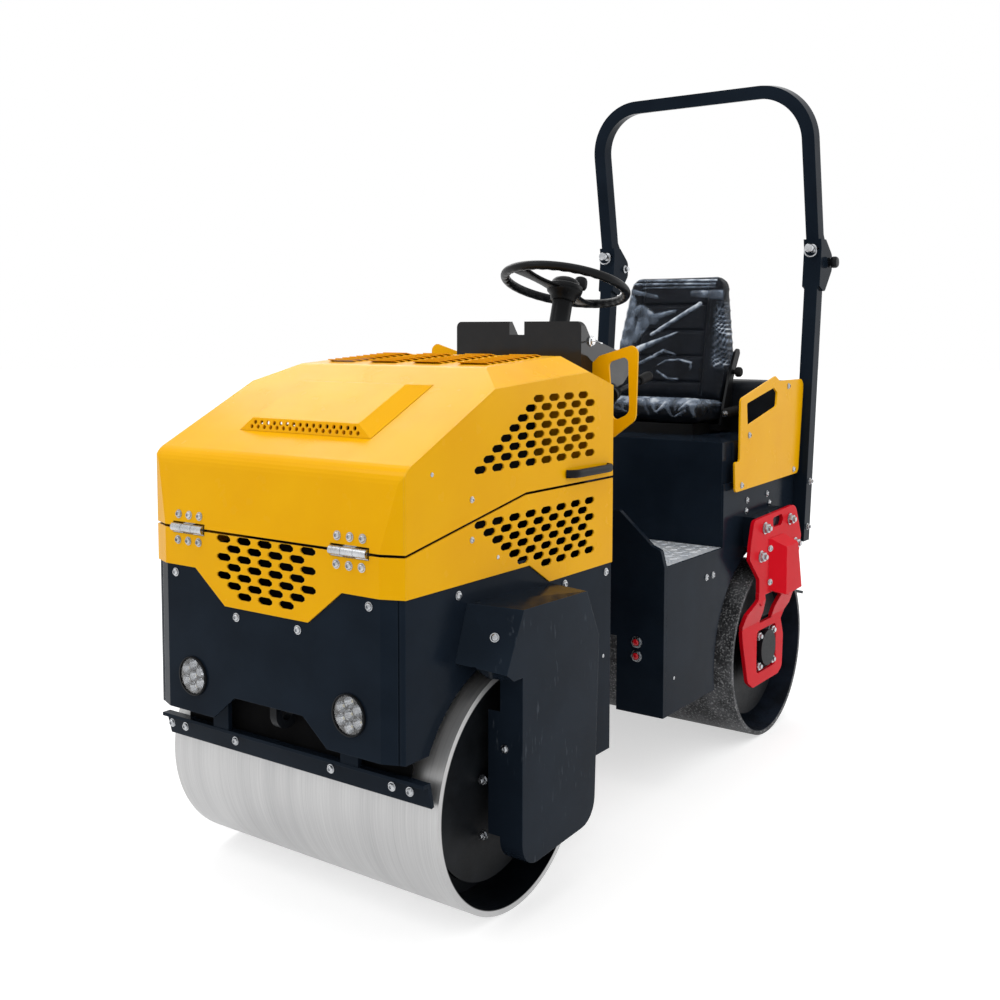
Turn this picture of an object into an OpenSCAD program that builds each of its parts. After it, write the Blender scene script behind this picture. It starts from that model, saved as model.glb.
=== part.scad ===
// Ride-on tandem road roller, articulated between a front and a rear frame.
// The nose points to -Y, the machine's left is +X, up is +Z, and the drums stand on z = 0.
// Stations along the machine are measured from the front drum's axis.

/* [Drums] */
// Outside diameter of both drums
drum_d = 560; // [520:1:600]
// Length of both drums
drum_w = 820; // [770:1:880]
// Distance between the two drum axes
wheelbase = 1440; // [1340:1:1540]
// Thickness of the rolled drum shell
drum_wall = 14; // [12:1:16]
// How far the drum webs sit in from the drum's ends
web_inset = 120; // [112:1:128]
// Diameter of the drum's stub shafts
stub_d = 50; // [46:1:54]

/* [Front body] */
// Width over the front body's sides
body_w = 760; // [720:1:780]
// Front face ahead of the front drum's axis
nose = 362; // [340:1:385]
// Rear edge behind the front drum's axis
tail = 480; // [450:1:500]
// Corner facet, measured across the machine
corner_x = 53; // [49:1:57]
// Corner facet, measured along the machine
corner_y = 21; // [19:1:23]
// Thickness of the yellow sheet
sheet = 4; // [3:0.5:5]
// Thickness of the black plates
plate = 6; // [5:0.5:7]
// Gap between the hood and the belt below it
hood_gap = 6; // [5:0.5:7]
// Height of the hood's edge at the nose
split_nose = 850; // [830:1:870]
// Rise of the hood's edge along the sides
split_rise = 80; // [74:1:86]
// Station where the hood's edge turns level
split_bend = 86; // [80:1:92]
// Height of the belt at the nose, without its middle drop
belt_h = 88; // [82:1:92]
// Drop of the belt's middle at the nose
belt_drop = 76; // [71:1:81]
// Lower edge of the black skirt at the nose
skirt_low = 422; // [395:1:450]
// Lower edge of the black skirt behind the drum
skirt_rear_low = 221; // [206:1:236]
// Height of the notch in the skirt's nose
notch_h = 58; // [54:1:62]
// Gap round the front drum in the skirt
drum_gap = 20; // [18:1:24]

/* [Hood] */
// Height of the bend between nose and slope
slope_foot = 1010; // [995:1:1040]
// Angle of the hood's slope
slope_deg = 26.6; // [25:0.1:28]
// Lean of the hood's nose
nose_lean = 6; // [5.6:0.1:6.4]
// Height of the hood's top at its front edge
hood_top = 1217; // [1190:1:1250]
// Tilt of the hood's top, rising to the rear
top_tilt = 3.8; // [3.5:0.1:4.1]
// Station of the hood's top at its front edge
top_front = 50; // [46:1:54]
// Station where the hood's top falls to the rear
top_rear = 366; // [345:1:390]
// Angle of the fall to the rear
rear_fall = 17; // [15.8:0.1:18.2]
// Width of the slant along the hood's top edges
slant_w = 88; // [82:1:94]
// Height of the slant along the hood's top edges
slant_h = 38; // [35:1:41]
// Width of the hood's scoop
scoop_w = 406; // [390:1:420]
// Length of the hood's scoop along the slope
scoop_l = 240; // [228:1:252]
// Height of the hood's scoop
scoop_h = 25; // [23:1:27]
// Distance between the scoop's holes
scoop_pitch = 20.5; // [20:0.1:21]
// Width of a louvre
louvre_w = 84; // [78:1:90]
// Diameter of the hood hinge barrels
hinge_d = 20; // [18:1:22]
// Length of a hood hinge
hinge_len = 104; // [96:1:112]
// Hood hinges' distance from the centre plane
hinge_x = 247; // [230:1:262]

/* [Grilles] */
// Length of a grille hole
hole_w = 45; // [42:1:48]
// Height of a grille hole
hole_h = 17; // [16:0.5:18]
// Distance between holes of one row
hole_pitch = 65; // [62:1:70]
// Distance between rows
row_pitch = 20.6; // [20:0.1:22]

/* [Rear body] */
// Toe board's front face behind the steering pin
toe_back = 145; // [135:1:160]
// Thickness of the toe board
toe_t = 16; // [15:1:17]
// Top of the floor tread
floor_z = 646; // [635:1:665]
// Seat base's front face ahead of the rear drum's axis
seat_ahead = 290; // [275:1:305]
// Top of the toe board
toe_z = 795; // [775:1:815]
// Lower edge of the step boxes
step_low = 219; // [205:1:233]
// Gap round the rear drum in the step panels
rear_gap = 62; // [58:1:66]
// Top of the seat base
seat_deck_z = 965; // [940:1:990]
// Height of the water tank over the seat base
tank_h = 170; // [155:1:180]
// Rear face behind the rear drum's axis
back_over = 298; // [285:1:310]

/* [Articulation] */
// Upright steering pin behind the front body
pivot_back = 145; // [140:1:152]
// Diameter of the steering pin
pivot_d = 60; // [56:1:64]
// Lower face of the yoke
yoke_low = 436; // [430:1:442]
// Upper face of the yoke
yoke_high = 714; // [700:1:728]
// Thickness of the yoke's arms
yoke_t = 24; // [22:1:26]
// Steering cylinder's distance from the centre plane
cyl_x = 90; // [86:1:94]
// Steering cylinder's length between its pins
cyl_len = 300; // [290:1:310]
// Rod pin ahead of the steering pin
cyl_fwd = 40; // [38:1:43]
// Largest steering angle each way
steer_deg = 25; // [23:0.5:26]

/* [Roll bar] */
// Width of the roll bar's tube, across the machine
tube_x = 46; // [44:1:49]
// Depth of the roll bar's tube, along the machine
tube_y = 50; // [47:1:53]
// Roll bar's foot ahead of the rear face
post_ahead = 41; // [38:1:44]
// Lean of the posts to the rear
post_lean = 5.3; // [5:0.1:5.6]
// Lean of the hoop to the front
hoop_lean = 10; // [9.4:0.1:10.6]
// Height of the roll bar's fold
fold_z = 1585; // [1540:1:1630]
// Top of the roll bar
rops_top = 2140; // [2080:1:2220]
// Outer bend radius of the roll bar
rops_bend = 190; // [178:1:202]
// Fold pin behind the tube
fold_back = 29; // [27:1:31]
// Fold pin below the fold
fold_drop = 46; // [43:1:49]
// Diameter of the fold pin
fold_d = 20; // [19:1:22]

/* [Controls and seat] */
// Console's front face ahead of the toe board
dash_ahead = 172; // [165:1:180]
// Top of the console
dash_z = 1327; // [1290:1:1360]
// Width of the console
dash_w = 422; // [400:1:440]
// Outside diameter of the steering wheel
wheel_d = 392; // [370:1:410]
// Thickness of the steering wheel's rim
rim_d = 27; // [25:1:29]
// Tilt of the steering wheel
wheel_tilt = 16.4; // [15.5:0.1:17.5]
// Steering wheel's centre behind the toe board's front face
wheel_back = 81; // [74:1:88]
// Height of the steering wheel's centre
wheel_z = 1436; // [1425:1:1460]
// Width of the seat cushion
seat_w = 410; // [390:1:430]
// Height of the seat's back over the seat base
seat_back_h = 522; // [490:1:550]

/* [Hidden] */
$fn = 64;
axle_z = drum_d / 2;
drum_r = drum_d / 2;
half = body_w / 2;
drum_half = drum_w / 2;
web_x = drum_half - web_inset;
back_y = wheelbase + back_over;
pivot_y = tail + pivot_back;
toe_y = pivot_y + toe_back;
dash_y = toe_y - dash_ahead;
wheel_y = toe_y + wheel_back;
seat_y = wheelbase - 123;
seat_top = seat_deck_z + seat_back_h;
tank_z = seat_deck_z + tank_h;
foot_z = 590;
foot_y = back_y - post_ahead;
post_top = foot_y + (fold_z - foot_z) * tan(post_lean);
fold_y = post_top + tube_y + fold_back;
front_reach = nose + 10;
rear_reach = fold_y + 25;
front_axle_y = (front_reach - rear_reach) / 2;
fit = 0.2;
corner_a = atan(corner_y / corner_x);
deck_z = drum_d + 30;
deck_t = 10;
split_high = split_nose + split_rise;
belt_low = split_nose - belt_h;
belt_rear_low = belt_low - 52;
lap = 15;
skirt_in = sheet + plate;
hinge_y = -nose;
scoop_u = 133;
hinge_z = split_nose;
rear_deck_z = floor_z - 6;
pedestal_y = wheelbase - seat_ahead;
panel_x = half - plate;
arm_in = drum_half + 8;
arm_out = arm_in + 16;
guard_out = half + 96;
stub_front = arm_out + 2;
stub_rear = drum_half - 22;
sup_up_in = drum_half + 9;
sup_up_out = sup_up_in + 12;
sup_low_out = drum_half - 5;
sup_low_in = sup_low_out - 12;
drive_in = web_x + 50;
drive_out = drive_in + 12;
cyl_z = yoke_low - 35;
cyl_drift = cyl_x * (1 - cos(steer_deg));
cyl_front_x = -cyl_x + cyl_drift / 2;
rod_y = pivot_y - cyl_fwd;
barrel_y = rod_y + cyl_len;
tube_out = half + tube_x;
tube_in = half;
pin_gap = 5.5;
column_r = 30;
column_l = 250;
hoop_out = tube_out - 1;
hoop_in = tube_in + 1;
yellow = "#f0b418";
black = "#1c242c";
red = "#d01020";
steel = "#b9bcc0";
dark = "#23282d";

// Points of an arc
function arc(c, r, a0, a1, n) = [for (i = [0 : n]) c + r * [cos(a0 + (a1 - a0) * i / n),
  sin(a0 + (a1 - a0) * i / n)]];
// The short turn from one angle to another
function turn(a, b) = (b - a > 180) ? b - 360 : (b - a < -180) ? b + 360 : b;
// Corner p1 between p0 and p2, rounded with radius r
function corner(p0, p1, p2, r, n) =
  let (u = (p0 - p1) / norm(p0 - p1))
  let (v = (p2 - p1) / norm(p2 - p1))
  let (h = acos(u * v) / 2)
  let (d = r / tan(h))
  let (c = p1 + (u + v) / norm(u + v) * r / sin(h))
  let (s = p1 + u * d - c)
  let (e = p1 + v * d - c)
  let (a = atan2(s[1], s[0]))
  arc(c, r, a, turn(a, atan2(e[1], e[0])), n);
// Outline with each corner rounded by its own radius, 0 for a sharp corner
function rounded(p, r, n = 6) =
  let (k = len(p))
  [for (i = [0 : k - 1]) each (r[i] == 0 ? [p[i]] : corner(p[(i + k - 1) % k], p[i], p[(i + 1) % k],
    r[i], n))];
// Station where the lines a + b y and c + d y meet
function meet(a, b, c, d) = (c - a) / (b - d);

// Plan of the front body, drawn in by d
function plan(d, y_end) = [
  [half - d, y_end],
  [half - d, -nose + corner_y + d * tan((90 - corner_a) / 2)],
  [half - corner_x - d * tan(corner_a / 2), -nose + d],
  [-half + corner_x + d * tan(corner_a / 2), -nose + d],
  [-half + d, -nose + corner_y + d * tan((90 - corner_a) / 2)],
  [-half + d, y_end]
];

// Moves a piece drawn from the front drum's axis to its place
module station() {
  translate([0, front_axle_y, 0]) children();
}
// Outline in Y and Z, made solid from x0 to x1
module side_plate(x0, x1) {
  translate([x0, 0, 0]) rotate([90, 0, 90]) linear_extrude(x1 - x0) children();
}
// Outline in X and Z, made solid from y0 to y1
module front_plate(y0, y1) {
  translate([0, y1, 0]) rotate([90, 0, 0]) linear_extrude(y1 - y0) children();
}
// Round bar along X
module bar_x(r, x0, x1, y, z) {
  translate([x0, y, z]) rotate([0, 90, 0]) cylinder(r = r, h = x1 - x0);
}
// Round bar along Y
module bar_y(r, y0, y1, x, z) {
  translate([x, y0, z]) rotate([-90, 0, 0]) cylinder(r = r, h = y1 - y0);
}
// Round bar along Z
module bar_z(r, z0, z1, x, y) {
  translate([x, y, z0]) cylinder(r = r, h = z1 - z0);
}
// Box between two corners
module box(a, b) {
  translate(a) cube(b - a);
}

// One grille hole, a long hexagon with blunt tips
module grille_hole() {
  w = hole_w / 2;
  h = hole_h / 2;
  polygon([[w, -h * 0.35], [w, h * 0.35], [w * 0.62, h], [-w * 0.62, h], [-w, h * 0.35], [-w, -h * 0.35],
    [-w * 0.62, -h], [w * 0.62, -h]]);
}
// Rows of grille holes, each aligned at its right end; counts run from the first row
module grille_rows(counts, right, first, step, lead) {
  for (i = [0 : len(counts) - 1]) {
    shift = ((i + lead) % 2) * hole_pitch / 2;
    for (k = [0 : counts[i] - 1])
      translate([right - shift - k * hole_pitch, first + i * step]) grille_hole();
  }
}

// Height of the split line, from the nose to the rear
function split_line(dz) = [
  [-nose - 20, split_nose + dz], [-nose + corner_y, split_nose + dz], [split_bend, split_high + dz],
  [tail + 20, split_high + dz]
];
// Hood's lines for a form drawn in by d: nose, slope, top, fall
function hood_lines(d, low) =
  let (s0 = slope_foot + nose * tan(slope_deg) - d / cos(slope_deg))
  let (t0 = hood_top - top_front * tan(top_tilt) - d / cos(top_tilt))
  let (peak = hood_top + (top_rear - top_front) * tan(top_tilt))
  let (f0 = peak + top_rear * tan(rear_fall) - d / cos(rear_fall))
  let (ln = tan(nose_lean))
  let (y0 = -nose + d / cos(nose_lean))
  let (zb = (s0 + (y0 - split_nose * ln) * tan(slope_deg)) / (1 - ln * tan(slope_deg)))
  let (ya = meet(s0, tan(slope_deg), t0, tan(top_tilt)))
  let (yb = meet(t0, tan(top_tilt), f0, -tan(rear_fall)))
  let (base = split_line(low))
  rounded(concat(
    [[tail - d, base[3][1]], [tail - d, f0 - (tail - d) * tan(rear_fall)], [yb, t0 + yb * tan(top_tilt)],
     [ya, s0 + ya * tan(slope_deg)], [y0 + (zb - split_nose) * ln, zb],
       [y0 + low * ln, split_nose + low]],
    [base[1], base[2]]),
    [0, 12 - d, 20 - d, 30 - d, 46 - d, 0, 0, 0], 5);
// Cross section of the hood with slanted top edges, wider than the hood
function hood_cross(d) =
  let (l = norm([slant_w, slant_h]))
  let (x = half - slant_w - d * (l - slant_w) / slant_h)
  let (e = slant_w + 60)
  [[x + e, -700], [x + e, -d - e * slant_h / slant_w], [x, -d], [-x, -d],
    [-x - e, -d - e * slant_h / slant_w], [-x - e, -700]];
// Plan of the hood, its corner facets carried past the nose
function hood_plan(d) =
  let (p = plan(d, tail + 60))
  let (f = p[2] + (p[2] - p[1]) * 0.8)
  [p[0], p[1], f, [-f[0], f[1]], p[4], p[5]];
module hood_form(d, low) {
  intersection() {
    side_plate(-half - 30, half + 30) polygon(hood_lines(d, low));
    translate([0, 0, split_nose - 100]) linear_extrude(700) polygon(hood_plan(d));
    translate([0, top_front, hood_top]) rotate([top_tilt, 0, 0])
      front_plate(-700, 700) polygon(hood_cross(d));
    translate([0, top_rear, hood_top + (top_rear - top_front) * tan(top_tilt)]) rotate([-rear_fall, 0, 0])
      front_plate(-900, 400) polygon(hood_cross(d));
  }
}

// Everything outboard of the hood's side plates
module hood_flanks() {
  for (s = [-1, 1])
    box([s > 0 ? half - sheet : -half - 5, -nose - 5, split_nose - 80],
      [s > 0 ? half + 5 : -half + sheet, tail + 5, hood_top + 200]);
}
// Places a piece at each louvre on the hood's top
module louvre_rows() {
  for (i = [-1.5 : 1.5])
    for (k = [0 : 8])
      translate([i * 140, 0, hood_top]) translate([0, top_front, 0]) rotate([top_tilt, 0, 0])
        translate([0, 62 + k * 27, 0]) children();
}
// Bent roof over one louvre, open to the front
module louvre_roof() {
  side_plate(-louvre_w / 2, louvre_w / 2) polygon([[-7, 5], [-7, 7], [18, 1], [18, -2], [14, -2]]);
}
module hood_shell() {
  color(yellow) station() union() {
    hood_sheet();
    louvre_rows() louvre_roof();
  }
}
module hood_sheet() {
  difference() {
    hood_form(0, hood_gap / 2);
    hood_form(sheet, -60);
    hood_flanks();
    for (s = [-1, 1])
      box([s * hinge_x - hinge_len / 2 - 2, -nose - 5, split_nose - 5],
        [s * hinge_x + hinge_len / 2 + 2, -nose + sheet + 4, split_nose + hinge_d / 2 + 3]);
    louvre_rows() translate([0, 5, -30]) linear_extrude(60) square([louvre_w, 18], center = true);
    hood_scoop_hole();
  }
}
module hood_side(s) {
  color(yellow) station() mirror([s > 0 ? 0 : 1, 0, 0]) difference() {
    intersection() {
      hood_form(0, hood_gap / 2);
      box([half - sheet, -nose - 5, split_nose - 80], [half + 5, tail + 5, hood_top + 200]);
    }
    side_plate(half - 15, half + 5) grille_rows([4, 5, 5, 6, 6, 7, 7, 8], 366, 1145, -row_pitch, 1);
  }
}
module hood_side_left() { hood_side(1); }
module hood_side_right() { hood_side(-1); }
// Opening under the scoop
module hood_scoop_hole() {
  box([-170, -215, slope_foot - 40], [170, -120, hood_top]);
}
// Raised form on the slope, drawn in by d; y runs up the slope, z stands off it
module scoop_form(d) {
  w = scoop_w / 2 - 1.2 * d;
  h = scoop_h - d;
  intersection() {
    side_plate(-w, w) polygon([[scoop_u + 1.2 * d, -d], [scoop_u + 18 + 0.6 * d, h],
      [scoop_u + scoop_l - 45, h],
      [scoop_u + scoop_l - 1.2 * d, -d]]);
    front_plate(scoop_u - 5, scoop_u + scoop_l + 5) polygon([[-w, -d], [-w + 40, h], [w - 40, h],
      [w, -d]]);
  }
}
module hood_scoop() {
  color(yellow) station() translate([0, -nose, slope_foot + 0.3]) rotate([slope_deg, 0, 0]) difference() {
    scoop_form(0);
    scoop_form(sheet);
    for (k = [-8 : 8]) translate([k * scoop_pitch, scoop_u + 6, 8]) rotate([54, 0, 0])
      cylinder(r = 5, h = 24, center = true, $fn = 24);
    for (k = [-7.5 : 7.5]) translate([k * scoop_pitch, scoop_u + 12, 16.5]) rotate([54, 0, 0])
      cylinder(r = 5, h = 24, center = true, $fn = 24);
  }
}
// Inner face of the hood's leaning nose at height dz over the split
function nose_in(dz) = -nose + sheet / cos(nose_lean) + dz * tan(nose_lean) + 0.3;
module hood_hinges() {
  w = hinge_len / 6 - 0.5;
  z0 = hinge_d / 2 + 4;
  color(steel) station() for (s = [-1, 1]) translate([s * hinge_x, 0, 0]) difference() {
    union() {
      bar_x(hinge_d / 2, -w, w, hinge_y, hinge_z);
      box([-w, hinge_y, hinge_z], [w, -nose + 13, hinge_z + 11]);
      side_plate(-w, w) polygon([[nose_in(6), hinge_z + 6], [nose_in(z0 + 4), hinge_z + z0 + 4],
        [nose_in(z0 + 4) + 6, hinge_z + z0 + 4], [nose_in(6) + 6, hinge_z + 6]]);
      side_plate(-hinge_len / 2, hinge_len / 2) polygon([[nose_in(z0), hinge_z + z0],
        [nose_in(58), hinge_z + 58],
        [nose_in(58) + 6, hinge_z + 58], [nose_in(z0) + 6, hinge_z + z0]]);
    }
    bar_x(4 + fit, -hinge_len, hinge_len, hinge_y, hinge_z);
  }
}
module belt_hinges() {
  w = hinge_len / 6 - 0.5;
  z0 = hinge_d / 2 + 2;
  color(steel) station() for (s = [-1, 1]) translate([s * hinge_x, 0, 0]) {
    for (k = [-1, 1]) translate([k * hinge_len / 3, 0, 0]) {
      bar_x(hinge_d / 2, -w, w, hinge_y, hinge_z);
      box([-w, hinge_y, hinge_z - z0], [w, -nose + sheet + 5, hinge_z]);
    }
    bar_x(4, -hinge_len / 2, hinge_len / 2, hinge_y, hinge_z);
    box([-hinge_len / 2, -nose + sheet, hinge_z - 58], [hinge_len / 2, -nose + sheet + 5, hinge_z - z0]);
  }
}
module hood_handles() {
  color(black) station() for (s = [-1, 1]) {
    z = split_high + 28;
    box([s > 0 ? half : -half - 30, 252, z - 9], [s > 0 ? half + 30 : -half, 270, z + 9]);
    box([s > 0 ? half : -half - 30, tail - 40, z - 9], [s > 0 ? half + 30 : -half, tail - 22, z + 9]);
    box([s > 0 ? half + 18 : -half - 30, 252, z - 9], [s > 0 ? half + 30 : -half - 18, tail - 22, z + 9]);
  }
}

// Belt and skirt outlines
function belt_side() = concat(split_line(-hood_gap / 2),
  [[tail + 20, belt_rear_low], [185, belt_rear_low], [101, belt_low], [-nose - 20, belt_low]]);
function belt_nose() = [
  [-half - 5, belt_low], [-225, belt_low], [-128, belt_low - belt_drop], [128, belt_low - belt_drop],
  [225, belt_low], [half + 5, belt_low], [half + 5, split_nose - hood_gap / 2],
    [-half - 5, split_nose - hood_gap / 2]
];
module belt() {
  color(yellow) station() difference() {
    intersection() {
      translate([0, 0, 500]) linear_extrude(600) difference() {
        polygon(plan(0, tail));
        polygon(plan(sheet, tail + 50));
      }
      union() {
        side_plate(-half - 5, half + 5) polygon(belt_side());
        front_plate(-nose - 5, -nose + sheet + 4) polygon(belt_nose());
      }
    }
    front_plate(-nose - 10, -nose + 20)
      grille_rows([5, 4, 5, 4, 5, 4], 2 * hole_pitch, split_nose - 12, -row_pitch, 0);
    front_plate(-nose - 10, -nose + 20)
      grille_rows([3], hole_pitch, split_nose - 12 - 6 * row_pitch, -row_pitch, 0);
    side_plate(-half - 5, half + 5) grille_rows([8, 7, 7, 6, 6, 5, 4], 366, split_high - 48,
      -row_pitch, 0);
    for (s = [-1, 1])
      box([s * hinge_x - hinge_len / 2 - 2, -nose - 5, split_nose - hinge_d / 2 - 3],
        [s * hinge_x + hinge_len / 2 + 2, -nose + sheet, split_nose + 5]);
  }
}
function skirt_nose() = [
  [-half - 5, skirt_low], [-176, skirt_low], [-106, skirt_low + notch_h], [106, skirt_low + notch_h],
  [176, skirt_low], [half + 5, skirt_low], [half + 5, belt_low + lap], [225, belt_low + lap],
  [128, belt_low - belt_drop + lap], [-128, belt_low - belt_drop + lap], [-225, belt_low + lap],
    [-half - 5, belt_low + lap]
];
module skirt() {
  color(black) station() difference() {
    translate([0, 0, 100]) linear_extrude(900) difference() {
      polygon(plan(sheet, tail));
      polygon(plan(skirt_in, tail + 50));
    }
    side_plate(-half - 5, half + 5) polygon([[-nose + skirt_in + 8, 50], [-nose + skirt_in + 8, 1100],
      [-nose - 20, 1100],
      [-nose - 20, 1150], [tail + 30, 1150], [tail + 30, belt_rear_low + lap], [188, belt_rear_low + lap],
      [104, belt_low + lap], [-nose + skirt_in + 10, belt_low + lap], [-nose + skirt_in + 10, skirt_low],
      [0, skirt_low], [0, skirt_rear_low], [tail + 30, skirt_rear_low], [tail + 30, 50]]);
    front_plate(-nose - 10, -nose + skirt_in + 12) difference() {
      translate([-half - 20, 50]) square([body_w + 40, 1050]);
      polygon(skirt_nose());
    }
    bar_x(drum_r + drum_gap, -half - 5, half + 5, 0, axle_z);
    for (s = [-1, 1]) bar_y(40.4, -nose - 5, -nose + 30, s * 241, 508);
    side_plate(-half - 5, half + 5) translate([-84, deck_z + 8]) square([168, 104]);
  }
}

module front_chassis() {
  in = half - skirt_in;
  color(dark) station() {
    difference() {
      translate([0, 0, deck_z]) linear_extrude(deck_t) polygon(plan(skirt_in, tail - 12));
      box([-70, -nose, deck_z - 1], [70, -nose + 60, deck_z + 30]);
    }
    for (s = [-1, 1]) box([s > 0 ? in - 12 : -in, -nose + 40, deck_z + deck_t],
      [s > 0 ? in : -in + 12, tail - 12, deck_z + 110]);
    // Towing eye behind the notch
    difference() {
      union() {
        box([-10, -nose + 20, 455], [10, -nose + 70, deck_z]);
        bar_x(34, -10, 10, -nose + 54, 455);
      }
      bar_x(16, -20, 20, -nose + 54, 455);
    }
    box([-70, -nose + 60, deck_z - 22], [70, -nose + 90, deck_z]);
  }
}
// Plate across the front body's rear, with the steering cylinder's arm and pin
module front_bulkhead() {
  in = half - skirt_in;
  color(dark) station() {
    difference() {
      box([-in, tail - 12, 250], [in, tail, split_high - 18]);
      box([-150, tail - 20, deck_z + 130], [150, tail + 5, split_high - 80]);
    }
    translate([0, 0, cyl_z - 34]) linear_extrude(18)
      polygon(concat([[-cyl_x + 55, tail], [-cyl_x - 55, tail]], arc([-cyl_x, rod_y], 28, 170, 10, 10)));
    bar_z(10, cyl_z - 20, cyl_z + 18, -cyl_x, rod_y);
  }
}
module tongue() {
  color(dark) station() difference() {
    union() {
      bar_z(60, yoke_low + yoke_t + 3, yoke_high - yoke_t - 3, 0, pivot_y);
      for (z = [yoke_low + yoke_t + 22, yoke_high - yoke_t - 42])
        translate([0, 0, z]) linear_extrude(20)
          polygon([[-110, tail], [110, tail], [58, pivot_y], [-58, pivot_y]]);
      box([-14, tail, yoke_low + yoke_t + 22], [14, pivot_y, yoke_high - yoke_t - 22]);
    }
    bar_z(pivot_d / 2 + fit, 0, 1000, 0, pivot_y);
  }
}
module engine() {
  color("#3a3f45") station() {
    box([-190, -190, deck_z + deck_t], [190, 250, deck_z + deck_t + 280]);
    box([-150, -150, deck_z + deck_t + 280], [120, 190, deck_z + deck_t + 420]);
    box([-200, -40, deck_z + deck_t + 270], [200, tail - 90, hood_top - 85]);
    bar_y(150, 250, 330, 0, deck_z + deck_t + 180);
  }
}
module front_arm(s) {
  color(black) station() mirror([s > 0 ? 0 : 1, 0, 0]) difference() {
    union() {
      side_plate(arm_in, arm_out) union() {
        translate([0, axle_z]) circle(r = 57);
        translate([-56, axle_z]) square([112, deck_z + 102 - axle_z]);
      }
      box([half - skirt_in, -76, deck_z + 12], [arm_in, 76, deck_z + 102]);
      bar_x(54, arm_in - 22, arm_out + 32, 0, axle_z);
    }
    bar_x(stub_d / 2 + fit, arm_in - 40, stub_front + 6, 0, axle_z);
  }
}
module front_arm_left() { front_arm(1); }
module front_arm_right() { front_arm(-1); }

function guard_low(d) = rounded([[-67 + d, 560], [-67 + d, 126 + d], [236 - d, 140 + d], [253 - d, 560]],
  [0, 56 - d, 60 - d, 0], 6);
function guard_top_in(d) = [[-134 + d, 718 - d], [-176 + d, 597], [-120 + d, 556], [250 - d, 556],
  [253 - d, 583], [200 - d, 703 - d]];
function guard_top_out(d) = [[-63 + d, 703 - d], [-127 + d, 575], [-100 + d, 556], [250 - d, 556],
  [253 - d, 583], [198 - d, 697 - d]];
module guard_upper(x0, x1, d) {
  hull() {
    side_plate(x0, x0 + 0.5) polygon(guard_top_in(d));
    side_plate(x1 - 0.5, x1) polygon(guard_top_out(d));
  }
}
module motor_guard(s) {
  x0 = drum_half + 6;
  color(black) station() mirror([s > 0 ? 0 : 1, 0, 0]) union() {
    difference() {
      union() {
        side_plate(x0, guard_out) polygon(guard_low(0));
        intersection() {
          guard_upper(half - sheet, guard_out, 0);
          union() {
            box([half - sheet, -300, 590], [guard_out + 5, 400, 800]);
            box([x0, -300, 500], [guard_out + 5, 400, 800]);
          }
        }
      }
      side_plate(x0 - 10, guard_out - sheet) polygon(guard_low(sheet));
      guard_upper(half - sheet - 20, guard_out - sheet, sheet);
      box([x0 - 60, -60, 520], [guard_out - sheet, 246, 600]);
    }
    box([half + 4, -67, 190], [x0 + 1, -67 + sheet, 470]);
  }
}
module motor_guard_left() { motor_guard(1); }
module motor_guard_right() { motor_guard(-1); }
module front_scraper() {
  color(black) station() {
    side_plate(-drum_half + 5, drum_half - 5) polygon([[-306, 381], [-296, 381], [-284, 327],
      [-292, 325]]);
    side_plate(-drum_half + 5, drum_half - 5) polygon([[-318, 373], [-296, 373], [-296, 381],
      [-318, 381]]);
    for (s = [-1, 1]) {
      box([s * 200 - 25, -316, 381], [s * 200 + 25, -304, deck_z]);
    }
  }
}
module head_lamps() {
  color("#d8dde0") station() for (s = [-1, 1]) {
    bar_y(46, -nose - 3, -nose + sheet, s * 241, 508);
    bar_y(40, -nose + sheet, -nose + 40, s * 241, 508);
  }
}

// Drum with its two webs
module drum(y) {
  difference() {
    bar_x(drum_r, -drum_half, drum_half, y, axle_z);
    bar_x(drum_r - drum_wall, web_x, drum_half + 5, y, axle_z);
    bar_x(drum_r - drum_wall, -drum_half - 5, -web_x, y, axle_z);
    bar_x(drum_r - drum_wall, -web_x + 12, web_x - 12, y, axle_z);
  }
}
// Rubber buffers, drive plates and stub shafts of a drum
module drum_drive(y, reach) {
  for (s = [-1, 1]) mirror([s > 0 ? 0 : 1, 0, 0]) {
    for (i = [0 : 7])
      bar_x(44, web_x, drive_in, y + 172 * cos(i * 45 + 22.5), axle_z + 172 * sin(i * 45 + 22.5));
    bar_x(222, drive_in, drive_out, y, axle_z);
    bar_x(stub_d / 2, drive_out, reach, y, axle_z);
  }
}
module front_drum_shell() { color(steel) station() drum(0); }
module front_drum_drive() { color(dark) station() drum_drive(0, stub_front); }
module rear_drum_shell() { color("#4a4038") station() drum(wheelbase); }
module rear_drum_drive() { color(dark) station() drum_drive(wheelbase, stub_rear); }

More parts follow.
